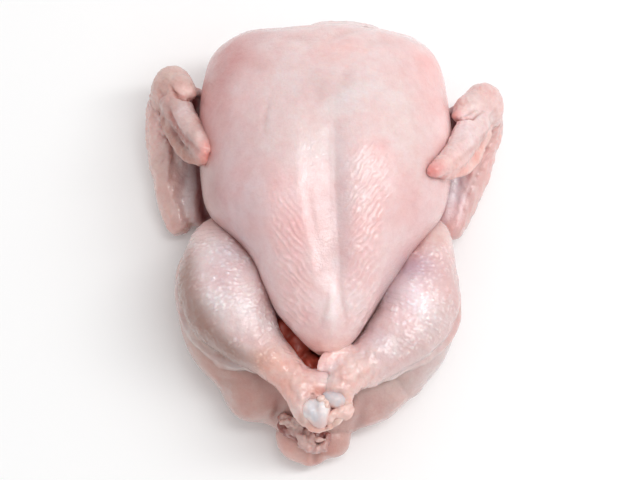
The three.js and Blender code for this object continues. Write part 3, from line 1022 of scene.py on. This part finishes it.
def drumstick_parts(points, side):
    return {
        "drumstick": flesh_depth(points, DRUMSTICKS[side], start=0.1, end=0.06, steps=LEG_STEPS),
        "web": flesh_depth(points, LEG_WEBS[side], steps=30),
        "flap": flesh_depth(points, ANKLE_FLAP, steps=12),
        "cuff": flesh_depth(points, CUFF, start=0.06, end=0.06, steps=30),
    }


def drumstick_depth(points, side):
    """Signed distance to a drumstick, with the thigh it sinks into just under its skin."""
    parts = drumstick_parts(points, side)
    leg = melt(parts["drumstick"], parts["web"], 4)
    if side == "right":
        leg = melt(leg, parts["flap"], 4)
    else:
        leg = melt(leg, lump_depth(points, *INSTEP), 5)
    leg = melt(leg, parts["cuff"], 3)
    leg = carve(leg, lump_depth(points, *ANKLE_BOWLS[side]), 1.5)
    thigh = part_depth(points, side + "_thigh") + UNDER_SKIN
    leg = melt(leg, thigh, 7)
    return np.maximum(leg, np.minimum(parts["drumstick"], parts["web"]) - 8)


def leg_frame(points, side):
    """How far along the drumstick each point lies, and how far round it, in millimetres."""
    line = run_through(DRUMSTICKS[side], LEG_STEPS)
    middle = line[:, :3]
    place = place_along(points, middle)
    lengths = np.concatenate([[0], np.cumsum(np.linalg.norm(np.diff(middle, axis=0), axis=1))])
    low = np.minimum(place.astype(int), LEG_STEPS - 2)
    t = (place - low)[:, None]
    forward = middle[low + 1] - middle[low]
    forward /= np.linalg.norm(forward, axis=1, keepdims=True)
    across = np.cross(forward, (0, 0, 1))
    across /= np.linalg.norm(across, axis=1, keepdims=True)
    over = np.cross(across, forward)
    off = points - (middle[low] * (1 - t) + middle[low + 1] * t)
    turn = np.arctan2(np.einsum("ij,ij->i", off, across), np.einsum("ij,ij->i", off, over))
    return np.interp(place, np.arange(LEG_STEPS), lengths), turn * LEG_RADIUS


def drumstick_top(points, normals):
    return (normals[:, 2] > -0.35) & (points[:, 2] > 36)


def drumstick_marked(points, normals):
    return (normals[:, 2] > -0.05) & (points[:, 2] > 40)


LEG_CREASES = {
    "left": [
        ([(-7, -85.5), (-3, -87), (2, -88)], 1.6, 0.9, 0.4),
        ([(-17, -86), (-14, -92), (-10, -96)], 1.2, 0.3, 0.3),
        ([(-22, -78), (-19, -84), (-16, -90)], 1.6, 0.3, 0.25),
        ([(-12, -76), (-9, -81), (-5, -84)], 1.5, 0.3, 0.25),
        ([(-6.5, -89.0), (-6.2, -88.2)], 0.9, 1.4, 0.3),
        ([(0.2, -105.0), (0.6, -104.0)], 0.9, 1.2, 0.3),
    ],
    "right": [
        ([(10, -65), (4, -70), (-2, -74)], 1.4, 0.4, 0),
        ([(9, -73), (3, -77.5), (-3, -79.5)], 1.2, 0.5, 0),
        ([(1, -95), (4, -95.5), (7, -95.8)], 1.1, 0.8, 0.3),
        ([(6, -81), (10, -83), (14, -85)], 1.4, 0.3, 0.25),
        ([(16, -74), (17, -79), (15, -84)], 1.5, 0.3, 0.25),
        ([(33, -15), (40, -12), (48, -8)], 2.0, 0.7, 0.4),
    ],
}
LEG_TONES = {
    "left": {
        "drumstick": (0.74, 0.60, 0.59),
        "web": (0.61, 0.51, 0.485),
        "flap": (0.80, 0.62, 0.59),
        "cuff": (0.80, 0.53, 0.46),
    },
    "right": {
        "drumstick": (0.75, 0.585, 0.575),
        "web": (0.72, 0.58, 0.55),
        "flap": (0.88, 0.72, 0.71),
        "cuff": (0.82, 0.58, 0.51),
    },
}
LEG_PATCHES = {
    "left": [
        ((-52, -22, 70), (10, 20, 16), (0.70, 0.58, 0.62), 0.6),
        # painted highlight on the left drumstick's outer side
        ((-66, -23, 66), (5, 12, 8), (0.84, 0.66, 0.66), 0.7),
        ((-34, -13, 70), (5, 9, 10), (0.74, 0.50, 0.49), 0.5),
        # painted highlight along the left drumstick's inner top, beside the breast
        ((-40, -32, 74), (6, 16, 10), (0.88, 0.74, 0.74), 0.6),
        ((-60, 2, 56), (10, 9, 14), (0.76, 0.60, 0.56), 0.6),
        ((-32, -72, 70), (9, 8, 10), (0.64, 0.32, 0.23), 0.8),
        ((-24, -75, 68), (11, 11, 14), (0.82, 0.46, 0.38), 0.9),
        ((-17, -85, 68), (11, 11, 14), (0.80, 0.44, 0.36), 0.9),
        ((-4, -86, 72), (7, 5, 8), (0.80, 0.44, 0.38), 0.8),
        ((-3.5, -87, 74), (2.5, 2, 6), (0.60, 0.20, 0.14), 0.8),
        ((-4.5, -101, 67), (14, 7, 10), (0.80, 0.49, 0.40), 0.8),
        # painted shade along the lower left edge of the left gristle
        ((-11.5, -100.5, 69), (2.2, 4, 5), (0.42, 0.24, 0.19), 0.6),
        # painted shade in two small pits beside the gristle
        ((-6.4, -88.6, 74), (1.2, 1.1, 8), (0.16, 0.03, 0.02), 0.95),
        ((0.4, -104.6, 68), (1.0, 1.4, 8), (0.16, 0.03, 0.02), 0.95),
    ],
    "right": [
        ((45, -22, 66), (12, 8, 14), (0.55, 0.40, 0.48), 0.85),
        # two painted highlights on the right drumstick's top
        ((46, -38, 72), (6, 10, 8), (1.0, 0.88, 0.92), 0.85),
        ((37, -47, 71), (6, 6, 8), (0.94, 0.80, 0.82), 0.6),
        ((34, -34, 66), (8, 9, 14), (0.62, 0.50, 0.55), 0.7),
        ((66, -38, 52), (8, 20, 16), (0.68, 0.44, 0.42), 0.6),
        ((58, -4, 56), (9, 8, 12), (0.80, 0.60, 0.54), 0.7),
        ((25, -60, 66), (8, 8, 14), (0.66, 0.47, 0.50), 0.5),
        ((15, -78, 68), (11, 9, 14), (0.80, 0.57, 0.50), 0.85),
        ((10, -91, 68), (7, 9, 12), (0.80, 0.54, 0.46), 0.8),
        ((4, -70, 72), (3, 6, 8), (0.76, 0.66, 0.70), 0.6),
        # painted shade in the crevice between the grey gristle and the fat
        ((3.8, -95.4, 70), (3.5, 1.4, 6), (0.40, 0.20, 0.20), 0.8),
    ],
}
ANKLE_PALE = (0.84, 0.68, 0.64)
ANKLE_ROSY = (0.80, 0.46, 0.39)
LEG_CREASE_PAINTED_SHADE = (0.55, 0.25, 0.20)
# the drumsticks' outer, lower sides: a deeper tone with painted shade over it, strongest on the left
UNDER_TONES_AND_SHADE = {"left": ((0.31, 0.165, 0.125), 0.9), "right": ((0.62, 0.44, 0.42), 0.5)}
DRUMSTICK_SKIN = skin_material("drumstick_skin", mottling=0.6, wet=0.9, crest_pale_and_highlight=0.85)
DRUMSTICK_SIZES = {
    "Row Spacing": 2.4,
    "Dot Spacing": 2.7,
    "Height": 0.34,
    "Ridge": 0.45,
    "Waver": 2.4,
    "Scatter": 0.8,
    "Seed": 8.0,
}

for side, low, high in (
    ("left", (-92, -115, 8), (22, 20, 84)),
    ("right", (-24, -115, 8), (82, 20, 84)),
):
    depth = partial(drumstick_depth, side=side)
    finer = (drumstick_top, drumstick_marked)
    leg = grow(side + "_drumstick_skin", depth, low, high, cell=1.9, finer=finer)
    leg_mesh = leg.data
    points, normals = mesh_points(leg_mesh), mesh_normals(leg_mesh)
    parts = drumstick_parts(points, side)
    along, around = leg_frame(points, side)
    at_ankle = rise(along, 84, 98)  # the skin is rougher and more mottled there
    height = 0.25 * wavy(points, 16, 11) + 0.08 * wavy(points, 6, 12)
    height += at_ankle * (0.16 * wavy(points, 5, 13) + 0.06 * wavy(points, 2.2, 14))
    web = rise(parts["drumstick"] - parts["web"], -2, 2)
    height += web * 0.12 * wavy(points, 6, 15)
    height += folds(points, normals, LEG_CREASES[side])
    press_out(leg_mesh, height)
    tone = blend_tones(points, LEG_TONES[side], parts, LEG_PATCHES[side])
    outward = around if side == "left" else -around  # the outer side is deeper in tone, and painted shade darkens it further
    under = rise(outward, 4, 15) * rise(along, 12, 32) * (1 - rise(along, 72, 98)) * (1 - web)
    tone = lay(tone, UNDER_TONES_AND_SHADE[side][0], UNDER_TONES_AND_SHADE[side][1] * under)
    mottled = 0.22 * at_ankle * wavy(points, 7, 17)
    tone = lay(tone, ANKLE_PALE, np.clip(mottled, 0, 0.6))
    tone = lay(tone, ANKLE_ROSY, np.clip(-mottled, 0, 0.6))
    creased = np.clip(-folds(points, normals, LEG_CREASES[side]), 0, 1)
    # painted shade in the bottoms of the creases
    tone = lay(tone, LEG_CREASE_PAINTED_SHADE, 0.5 * creased)
    sunk = rise(np.minimum(parts["drumstick"], parts["web"]), 0.4, 3.5) * (1 - rise(-points[:, 1], 76, 86))
    store(leg_mesh, "tone", lay(tone, carcass_tone(points), sunk))
    slant = 0.28 if side == "left" else -0.28  # the rows of follicles wind round the leg
    store(leg_mesh, "row_across", along + slant * around)
    store(leg_mesh, "row_along", around - slant * along)
    patchy = 0.25 + 0.75 * rise(wavy(points, 14, 16), -0.9, 0.9)
    weight = patchy * rise(along, 8, 24) * (1 - 0.75 * rise(along, 84, 100)) * (1 - web)
    store(leg_mesh, "row_weight", weight * rise(normals[:, 2], -0.4, 0.0) * (1 - rise(along, 100, 108)))
    # Where the drumstick and the breast press together, painted shade darkens both skins along the line
    # where they meet.
    touching = np.exp(-np.maximum(part_depth(points, "breast"), 0) / 1.2)
    painted_shade_share = 0.8 if side == "left" else 0.5
    lay_painted_shade(leg_mesh, painted_shade_share * touching * rise(points[:, 2], 46, 56))
    raise_rows(leg, {**DRUMSTICK_SIZES, "Skin": DRUMSTICK_SKIN})
    carcass_points = mesh_points(carcass.data)
    touching = np.exp(-np.maximum(drumstick_parts(carcass_points, side)["drumstick"], 0) / 1.2)
    lay_painted_shade(carcass.data, painted_shade_share * touching)
    hand_in(leg)

# ---------------------------------------------------------------------------------------
# The wing tips: each hand is folded back over the forearm and lies against the breast,
# with the round wrist and thumb at its root and the loose skin of its trailing edge
# beside it. Its root sinks into the forearm's skin.

HANDS = {
    "left": {
        "hand": [
            (-83, 76, 48, 8, 7, 8),
            (-79.5, 68.5, 52.5, 8, 6.5, 7.5),
            (-73.5, 57, 62, 7.2, 6.5, 7),
            (-67, 45.2, 72, 6.2, 6, 6),
            (-60.8, 35.8, 80, 4.6, 4.6, 4.6),
        ],
        "flap": [
            (-86, 72, 43, 4, 3, 4),
            (-84, 63, 47, 4.6, 3, 4),
            (-80.5, 54.5, 52, 4.8, 3, 4),
            (-76.2, 46.5, 58.5, 5, 2.8, 4),
            (-70.8, 39.6, 65, 5, 2.8, 4),
            (-65, 35.8, 72.5, 4.4, 2.8, 4),
            (-61.2, 34.6, 77.5, 3, 2.6, 3),
        ],
    },
    "right": {
        "hand": [
            (84, 69, 46, 7.5, 7, 8),
            (80.5, 60, 54.5, 8, 7.2, 8),
            (75.2, 50, 64.5, 8.2, 7, 7.5),
            (70.3, 40, 74, 7.4, 6.6, 7),
            (64.2, 31.5, 82, 6.2, 6, 6),
            (57.6, 26, 88, 4.8, 5, 5),
            (52.8, 22.5, 91.5, 3.4, 3.6, 3.6),
        ],
        "flap": [
            (88, 65, 40, 4, 3, 4),
            (85, 56, 46, 4.4, 3, 4),
            (81, 47.5, 54, 4.8, 3, 4),
            (76.8, 38.5, 62, 5, 3, 4),
            (71, 31.5, 70, 5, 3, 4),
            (64.5, 27, 77.5, 4.4, 3, 4),
            (59, 23.5, 84, 3.6, 3, 3),
        ],
    },
}
WRISTS = {  # the round wrist, with the thumb at its inner side: middle, then half sizes
    "left": [
        ((-83, 82, 41), (11.5, 13, 13)),
        ((-77.5, 79.5, 51), (7.5, 7, 8.5)),
        ((-72.8, 76, 55), (3.4, 2.8, 3.6)),
    ],
    "right": [
        ((85.8, 72.5, 42), (11, 12.6, 13)),
        ((78, 68, 51), (8.8, 8.6, 9.5)),
        ((72.5, 62.8, 56.5), (4.8, 3.4, 4.4)),
    ],
}


def hand_parts(points, side):
    thumb = np.full(len(points), FAR)
    for middle, radii in WRISTS[side]:
        thumb = melt(thumb, lump_depth(points, middle, radii), 5)
    return {
        "hand": flesh_depth(points, HANDS[side]["hand"], start=0.1, end=0.16),
        "thumb": thumb,
        "flap": flesh_depth(points, HANDS[side]["flap"]),
    }


def hand_depth(points, side):
    """Signed distance to a hand, and to the arm it grows from just under its skin."""
    parts = hand_parts(points, side)
    arm = part_depth(points, side + "_forearm") + UNDER_SKIN
    hand = melt(melt(parts["hand"], parts["flap"], 4), arm, 5)
    hand = melt(hand, melt(parts["thumb"], arm, 7), 1)
    own = np.minimum(np.minimum(parts["hand"], parts["flap"]), parts["thumb"])
    return np.maximum(hand, own - 5)


def hand_top(points, normals):
    return normals[:, 2] > -0.3


HAND_CREASES = {
    "left": [
        ([(-83, 80), (-81.6, 76.5), (-78.5, 73), (-75.1, 71.6), (-69, 72)], 0.9, 1.3, 0.5),
        ([(-84, 68), (-82.3, 61), (-78, 52), (-72.4, 44), (-66, 37.4)], 1.5, 1.5, 0.4),
        ([(-90, 80), (-87, 75), (-84, 76)], 1.1, 0.4, 0.3),
        ([(-90, 68), (-87, 64), (-86, 58)], 1.0, 0.5, 0.3),
    ],
    "right": [
        ([(67, 61), (72, 58.4), (78, 58.6), (84, 65)], 0.8, 1.1, 0.4),
        ([(86, 60), (82.5, 50), (78, 41), (71, 33), (64, 27.5)], 1.5, 0.45, 0.15),
        ([(87, 55), (84, 49), (81, 43)], 1.0, 0.6, 0.3),
        ([(91, 68), (88, 63), (89.5, 57)], 1.0, 0.4, 0.3),
    ],
}
HAND_TONES = {
    # the left hand is darker than the right: partly its own tone, partly painted shade on the side away
    # from the light
    "left": {"hand": (0.56, 0.37, 0.34), "thumb": (0.67, 0.43, 0.38), "flap": (0.50, 0.26, 0.21)},
    "right": {"hand": (0.80, 0.60, 0.58), "thumb": (0.80, 0.57, 0.54), "flap": (0.82, 0.56, 0.51)},
}
HAND_PATCHES = {
    "left": [
        ((-61.5, 38.5, 80), (5, 7, 12), (0.82, 0.40, 0.36), 0.9),
        ((-61, 34, 79), (4.5, 3, 10), (0.90, 0.36, 0.31), 0.9),
        ((-74.8, 75, 57), (6, 4, 8), (0.98, 0.68, 0.62), 0.8),
        ((-86, 84, 48), (8, 8, 10), (0.62, 0.44, 0.39), 0.6),
        ((-82, 61, 52), (3, 6, 8), (0.62, 0.38, 0.33), 0.5),
        # painted shade, dark red, down in the crease between the hand and its flap
        ((-79.6, 54.5, 56), (2.6, 4.5, 6), (0.24, 0.06, 0.04), 0.85),
        ((-76, 48.5, 60), (2.6, 4.5, 6), (0.24, 0.06, 0.04), 0.85),
        ((-69, 55, 70), (3, 8, 10), (0.70, 0.45, 0.40), 0.6),
        # painted shade in the crease near the hand's tip
        ((-71.5, 42, 68), (3.5, 5, 9), (0.36, 0.18, 0.14), 0.7),
        # painted highlight along the middle of the left hand
        ((-75, 62, 62), (4, 8, 9), (0.84, 0.72, 0.72), 0.8),
        ((-72, 54, 68), (3, 7, 8), (0.78, 0.62, 0.60), 0.6),
        ((-65.5, 45, 78), (2.5, 7, 6), (0.86, 0.64, 0.61), 0.7),
    ],
    "right": [
        ((53.5, 23, 92), (6.5, 6, 12), (0.80, 0.26, 0.24), 0.95),
        ((61, 28, 84), (9, 8, 12), (0.84, 0.52, 0.47), 0.6),
        ((69, 29, 74), (10, 5, 12), (0.84, 0.44, 0.38), 0.7),
        ((69.5, 61.5, 60), (4, 4, 8), (0.80, 0.36, 0.31), 0.85),
        ((74, 46, 70), (6, 11, 10), (0.86, 0.75, 0.76), 0.8),
        ((78.5, 39, 66), (4, 6, 9), (0.82, 0.38, 0.31), 0.85),
        ((83, 47, 56), (3, 6, 8), (0.84, 0.46, 0.40), 0.7),
        ((78, 67, 60), (5, 5, 8), (0.82, 0.66, 0.62), 0.5),
        ((72.5, 58, 63), (5, 6, 9), (1.0, 0.74, 0.74), 0.75),
    ],
}
HAND_CREASE_PAINTED_SHADE = (0.42, 0.14, 0.11)
WING_SKIN = skin_material("wing_skin", mottling=0.85, wet=0.6)

for side, low, high in (
    ("left", (-102, 24, 26), (-50, 104, 86)),
    ("right", (42, 10, 28), (102, 94, 102)),
):
    depth = partial(hand_depth, side=side)
    hand = grow(side + "_hand_skin", depth, low, high, cell=1.4, finer=(hand_top,))
    hand_mesh = hand.data
    points, normals = mesh_points(hand_mesh), mesh_normals(hand_mesh)
    height = 0.12 * wavy(points, 9, 21) + 0.12 * wavy(points, 3.2, 22) + 0.1 * wavy(points, 1.6, 23)
    creased = folds(points, normals, HAND_CREASES[side])
    press_out(hand_mesh, height + creased)
    parts = hand_parts(points, side)
    tone = blend_tones(points, HAND_TONES[side], parts, HAND_PATCHES[side])
    # painted shade in the bottoms of the creases
    tone = lay(tone, HAND_CREASE_PAINTED_SHADE, 0.8 * np.clip(-creased, 0, 1))
    sunk = rise(np.minimum(np.minimum(parts["hand"], parts["thumb"]), parts["flap"]), 0.4, 3.5)
    store(hand_mesh, "tone", lay(tone, carcass_tone(points), sunk))
    hand_mesh.materials.append(WING_SKIN)
    # painted shade on the carcass where the hand lies against it
    touching = np.exp(-np.maximum(hand_depth(mesh_points(carcass.data), side), 0) / 1.0)
    lay_painted_shade(carcass.data, 0.6 * touching)
    hand_in(hand)

# ---------------------------------------------------------------------------------------
# The gristle at the cut ankles: smooth, silvery caps of the joints, a grey one half
# hidden on the right, and a pale fatty lump beside them.


def left_gristle_depth(points):
    cap = lump_depth(points, (-6.4, -95.6, 70.5), (6.6, 5.9, 5))
    cap = melt(cap, lump_depth(points, (-2.8, -100.4, 69.2), (4.2, 5, 4.4)), 5)
    cap = melt(cap, lump_depth(points, (-1.4, -94.4, 70.5), (3.6, 3.4, 4.6)), 4)
    groove = lump_depth(points, (-5.2, -93.4, 77.2), (0.9, 6, 2))
    return carve(cap, groove, 3)


def right_gristle_depth(points):
    cap = lump_depth(points, (5.2, -91.0, 70.3), (5.2, 4.2, 4.8))
    return melt(cap, lump_depth(points, (1.2, -89.4, 71), (3.2, 2.6, 3.6)), 3)


FAT_STRIP = [
    (0.2, -103, 68.5, 1.6, 1.2, 2),
    (3, -99.4, 70.5, 2.4, 1.3, 2),
    (6.5, -97, 70.5, 2.4, 1.2, 2),
    (9, -95.5, 70, 1.6, 1.2, 2),
]


def fat_lump_depth(points):
    lump = lump_depth(points, (10, -96, 68), (4.6, 5.2, 3))
    strip = flesh_depth(points, FAT_STRIP)
    fibres = lump_depth(points, (-2.4, -90.8, 73.5), (2.3, 1.8, 3))
    fibres = melt(fibres, lump_depth(points, (0.5, -93.6, 73.2), (1.6, 2.6, 2.6)), 2)
    return melt(melt(lump, strip, 3), fibres, 2)


def gristle_material(name, pale, dark, size):
    """Smooth wet gristle or fat, cloudy between two tones."""
    made = bpy.data.materials.new(name)
    made.use_nodes = True
    t = Tree(made.node_tree)
    place = t.add("ShaderNodeTexCoord").outputs["Object"]
    cloud = t.add("ShaderNodeTexNoise", {"Vector": place, "Scale": size, "Detail": 3.0}).outputs[0]
    colour = t.mix("MIX", t.ranged(cloud, 0.38, 0.62), dark, pale)
    # lower on the cap the tone turns pink: partly the skin's rim round its base, partly painted shade
    rim_and_shade = t.add("ShaderNodeAttribute", attribute_name="rim_and_shade").outputs["Fac"]
    colour = t.mix("MIX", t.ranged(rim_and_shade, 0.0, 1.0, 0.0, 0.85), colour, (0.78, 0.50, 0.45, 1))
    shader = made.node_tree.nodes["Principled BSDF"]
    made.node_tree.links.new(colour, shader.inputs["Base Color"])
    scatter = {"Subsurface Weight": 0.25, "Subsurface Radius": (0.9, 0.5, 0.4), "Subsurface Scale": 0.002}
    set_finish(shader, {**scatter, "Roughness": 0.42, "Coat Weight": 0.35, "Coat Roughness": 0.15})
    return made


GRISTLE = gristle_material("gristle_silver", (0.88, 0.79, 0.78, 1), (0.60, 0.57, 0.60, 1), 120.0)
GREY_GRISTLE = gristle_material("gristle_grey", (0.70, 0.60, 0.60, 1), (0.52, 0.50, 0.54, 1), 120.0)
FAT = gristle_material("pale_fat", (0.86, 0.70, 0.65, 1), (0.82, 0.55, 0.47, 1), 260.0)
for name, depth, low, high, finish in (
    ("left_gristle", left_gristle_depth, (-16, -108, 56), (6, -86, 80), GRISTLE),
    ("right_gristle", right_gristle_depth, (-4, -99, 60), (13, -83, 79), GREY_GRISTLE),
    ("fat_lump", fat_lump_depth, (-6, -107, 60), (15, -86, 79), FAT),
):
    cap = grow(name, depth, low, high, cell=0.6)
    cap_points = mesh_points(cap.data)
    rough = 0.2 if finish is FAT else 0.05
    press_out(cap.data, rough * wavy(cap_points, 2.6, 31))
    # the rim share grows towards the cap's base: partly the skin's rim, partly painted shade under its lit
    # top
    store(cap.data, "rim_and_shade", 1 - rise(cap_points[:, 2], 70.5, 74.8) + 0.2 * wavy(cap_points, 4, 32))
    cap.data.materials.append(finish)
    hand_in(cap)

# ---------------------------------------------------------------------------------------
# Torn fat and membrane left around the vent, below the ankles, where the bird was cut open
# to draw it: a ragged sheet with pale strands over it and dark red gaps between them, red
# from the flesh and darkened with painted shade. It hangs from the rear of the carcass.

STRANDS = [  # each fold of membrane swells and thins along its middle line
    [(-25, -95, 33, 2, 1.4, 2), (-21, -98, 38, 2.8, 1.6, 2.4), (-15.5, -100.5, 38, 2.4, 1.4, 2),
     (-12.5, -105, 35, 1.4, 1.2, 2)],
    [(-23, -100, 32, 1.4, 1.2, 2), (-18, -103, 36.5, 2, 1.4, 2), (-13, -104, 37, 1.5, 1.2, 2)],
    [(-15, -101.5, 35, 1.6, 1.4, 2), (-13, -107, 37, 2.1, 1.6, 2), (-9, -111.5, 36, 2.2, 1.6, 2),
     (-4, -113, 35, 2.0, 1.6, 2), (0, -109.5, 36, 1.9, 1.5, 2), (2.5, -104, 35, 1.4, 1.2, 2)],
    [(-11, -103, 35, 1.2, 1, 2), (-8, -107.5, 38, 2.0, 1.4, 2), (-5.5, -111, 36, 1.3, 1, 2)],
    [(-24, -97, 35, 0.9, 0.9, 1.5), (-19, -99, 40, 1.1, 0.9, 1.5), (-15, -103, 38, 0.9, 0.9, 1.5)],
    [(-17, -104, 35, 0.9, 0.9, 1.5), (-12, -106, 39, 1.1, 0.9, 1.5), (-10, -110, 37, 0.9, 0.9, 1.5)],
    [(-8, -105, 37, 0.9, 0.9, 1.5), (-4, -108, 39, 1.1, 0.9, 1.5), (0, -107, 37, 0.9, 0.9, 1.5)],
    [(-20, -96, 38, 1.2, 1, 2), (-16, -97.5, 39.5, 1.6, 1.2, 2), (-11, -99.5, 38, 1.1, 1, 2)],
]


def strands_depth(points):
    depth = np.full(len(points), FAR)
    for strand in STRANDS:
        depth = melt(depth, flesh_depth(points, strand, steps=16), 0.9)
    sheet = lump_depth(points, (-16, -101, 32), (9, 6, 4))
    sheet = melt(sheet, lump_depth(points, (-6, -107, 31), (9, 7, 4)), 3)
    return melt(depth, sheet, 0.8)


GAP_RED_AND_SHADE = (0.32, 0.10, 0.08)
OUTER_MEMBRANE = (0.56, 0.36, 0.33)
STRAND_FAT = (0.70, 0.48, 0.43)
strands = grow("vent_strands", strands_depth, low=(-32, -122, 22), high=(12, -88, 46), cell=0.7)
strand_points = mesh_points(strands.data)
press_out(strands.data, 0.5 * wavy(strand_points, 4, 41) + 0.1 * wavy(strand_points, 1.8, 42))
lift = rise(strand_points[:, 2], 35.2, 38.8) + 0.12 * wavy(strand_points, 4, 43)
outer = 1 - rise(strand_points[:, 1] + 0.4 * np.abs(strand_points[:, 0] + 9), -110, -106)
# low down between the strands the tone is a dark red: partly the raw flesh beneath, partly painted shade in
# the gaps
deep = lay(np.tile(GAP_RED_AND_SHADE, (len(strand_points), 1)), OUTER_MEMBRANE, outer)
tone = lay(deep, STRAND_FAT, np.clip(lift, 0, 1))
store(strands.data, "tone", tone)
strands.data.materials.append(skin_material("torn_fat", mottling=0.8, wet=0.9))
hand_in(strands)

# ---------------------------------------------------------------------------------------
# Raw flesh that shows inside the body cavity, past the breast's point: dark red, wet lobes
# of the muscle that lines the hollow, each grown into the next.


def lobes_depth(points):
    depth = lump_depth(points, (-15, -60, 44), (8, 10, 14))
    depth = melt(depth, lump_depth(points, (-8, -70, 44), (5, 8, 13)), 1)
    depth = melt(depth, lump_depth(points, (2, -66, 42), (6, 10, 14)), 1)
    return melt(depth, lump_depth(points, (-22, -52, 46), (6, 8, 12)), 1)


RAW_RED = (0.52, 0.10, 0.06)
lobes = grow("cavity_flesh", lobes_depth, low=(-32, -82, 26), high=(20, -40, 62), cell=1.4)
lobe_points = mesh_points(lobes.data)
press_out(lobes.data, 0.5 * wavy(lobe_points, 8, 51) + 0.1 * wavy(lobe_points, 3, 52))
store(lobes.data, "tone", np.tile(RAW_RED, (len(lobe_points), 1)))
lobes.data.materials.append(skin_material("raw_flesh", mottling=0.9, wet=0.4))
hand_in(lobes)

# ---------------------------------------------------------------------------------------
# The white table it lies on, a white surround that is a little brighter from the right and
# from the neck side, one long soft light high on the right, and a camera that looks down on
# the breast from a little behind the legs.

TABLE = 3.0  # half its side, in metres
table_mesh = bpy.data.meshes.new("table")
corners = [(-TABLE, -TABLE, 0), (TABLE, -TABLE, 0), (TABLE, TABLE, 0), (-TABLE, TABLE, 0)]
table_mesh.from_pydata(corners, [], [(0, 1, 2, 3)])
table = bpy.data.objects.new("table", table_mesh)
bpy.context.collection.objects.link(table)
table_finish = bpy.data.materials.new("table_white")
table_finish.use_nodes = True
table_shader = table_finish.node_tree.nodes["Principled BSDF"]
set_finish(table_shader, {"Base Color": (0.98, 0.98, 0.98, 1), "Roughness": 0.9, "Specular IOR Level": 0.1})
table_mesh.materials.append(table_finish)
table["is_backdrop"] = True

world = bpy.data.worlds.new("studio")
bpy.context.scene.world = world
world.use_nodes = True
t = Tree(world.node_tree)
way = t.add("ShaderNodeSeparateXYZ", {0: t.add("ShaderNodeTexCoord").outputs["Generated"]}).outputs
strength = t.math("MULTIPLY_ADD", way["Y"], 0.14, t.math("MULTIPLY_ADD", way["X"], 0.08, 0.70))
background = world.node_tree.nodes["Background"]
background.inputs["Color"].default_value = (1, 1, 1, 1)
world.node_tree.links.new(strength, background.inputs["Strength"])


def softbox(name, place, aim, width, length, power):
    lamp = bpy.data.lights.new(name, "AREA")
    lamp.shape = "RECTANGLE"
    lamp.size = width
    lamp.size_y = length
    lamp.energy = power
    lamp.use_nodes = True  # its face is brightest in the middle and fades to its edges
    t = Tree(lamp.node_tree)
    spot = t.add("ShaderNodeSeparateXYZ", {0: t.add("ShaderNodeNewGeometry").outputs["Parametric"]}).outputs
    fade = 1.0
    for axis in ("X", "Y"):
        off = t.math("ABSOLUTE", t.math("SUBTRACT", spot[axis], 0.5))
        fade = t.math("MULTIPLY", fade, t.ranged(off, 0.25, 0.5, 1.0, 0.0))
    lamp.node_tree.links.new(fade, lamp.node_tree.nodes["Emission"].inputs["Strength"])
    thing = bpy.data.objects.new(name, lamp)
    thing.location = place
    thing.rotation_euler = (Vector(aim) - Vector(place)).to_track_quat("-Z", "Y").to_euler()
    bpy.context.collection.objects.link(thing)


softbox(
    "key_softbox",
    place=(0.47, 0.06, 1.16),
    aim=(0, 0, 0.05),
    width=0.26,
    length=1.4,
    power=12.5,
)

LENS = 100.0
SENSOR_WIDTH = 36
VIEW_HEIGHT = math.radians(78)
VIEW_DISTANCE = 0.942
AIM = Vector((-0.0028, -0.0035, 0.05))
camera = bpy.data.objects.new("camera", bpy.data.cameras.new("camera"))
camera.data.lens = LENS
camera.data.sensor_width = SENSOR_WIDTH
camera.location = AIM + VIEW_DISTANCE * Vector((0, -math.cos(VIEW_HEIGHT), math.sin(VIEW_HEIGHT)))
camera.rotation_euler = (AIM - camera.location).to_track_quat("-Z", "Y").to_euler()
bpy.context.collection.objects.link(camera)
bpy.context.scene.camera = camera
bpy.context.scene.view_settings.view_transform = "Standard"

low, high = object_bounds()
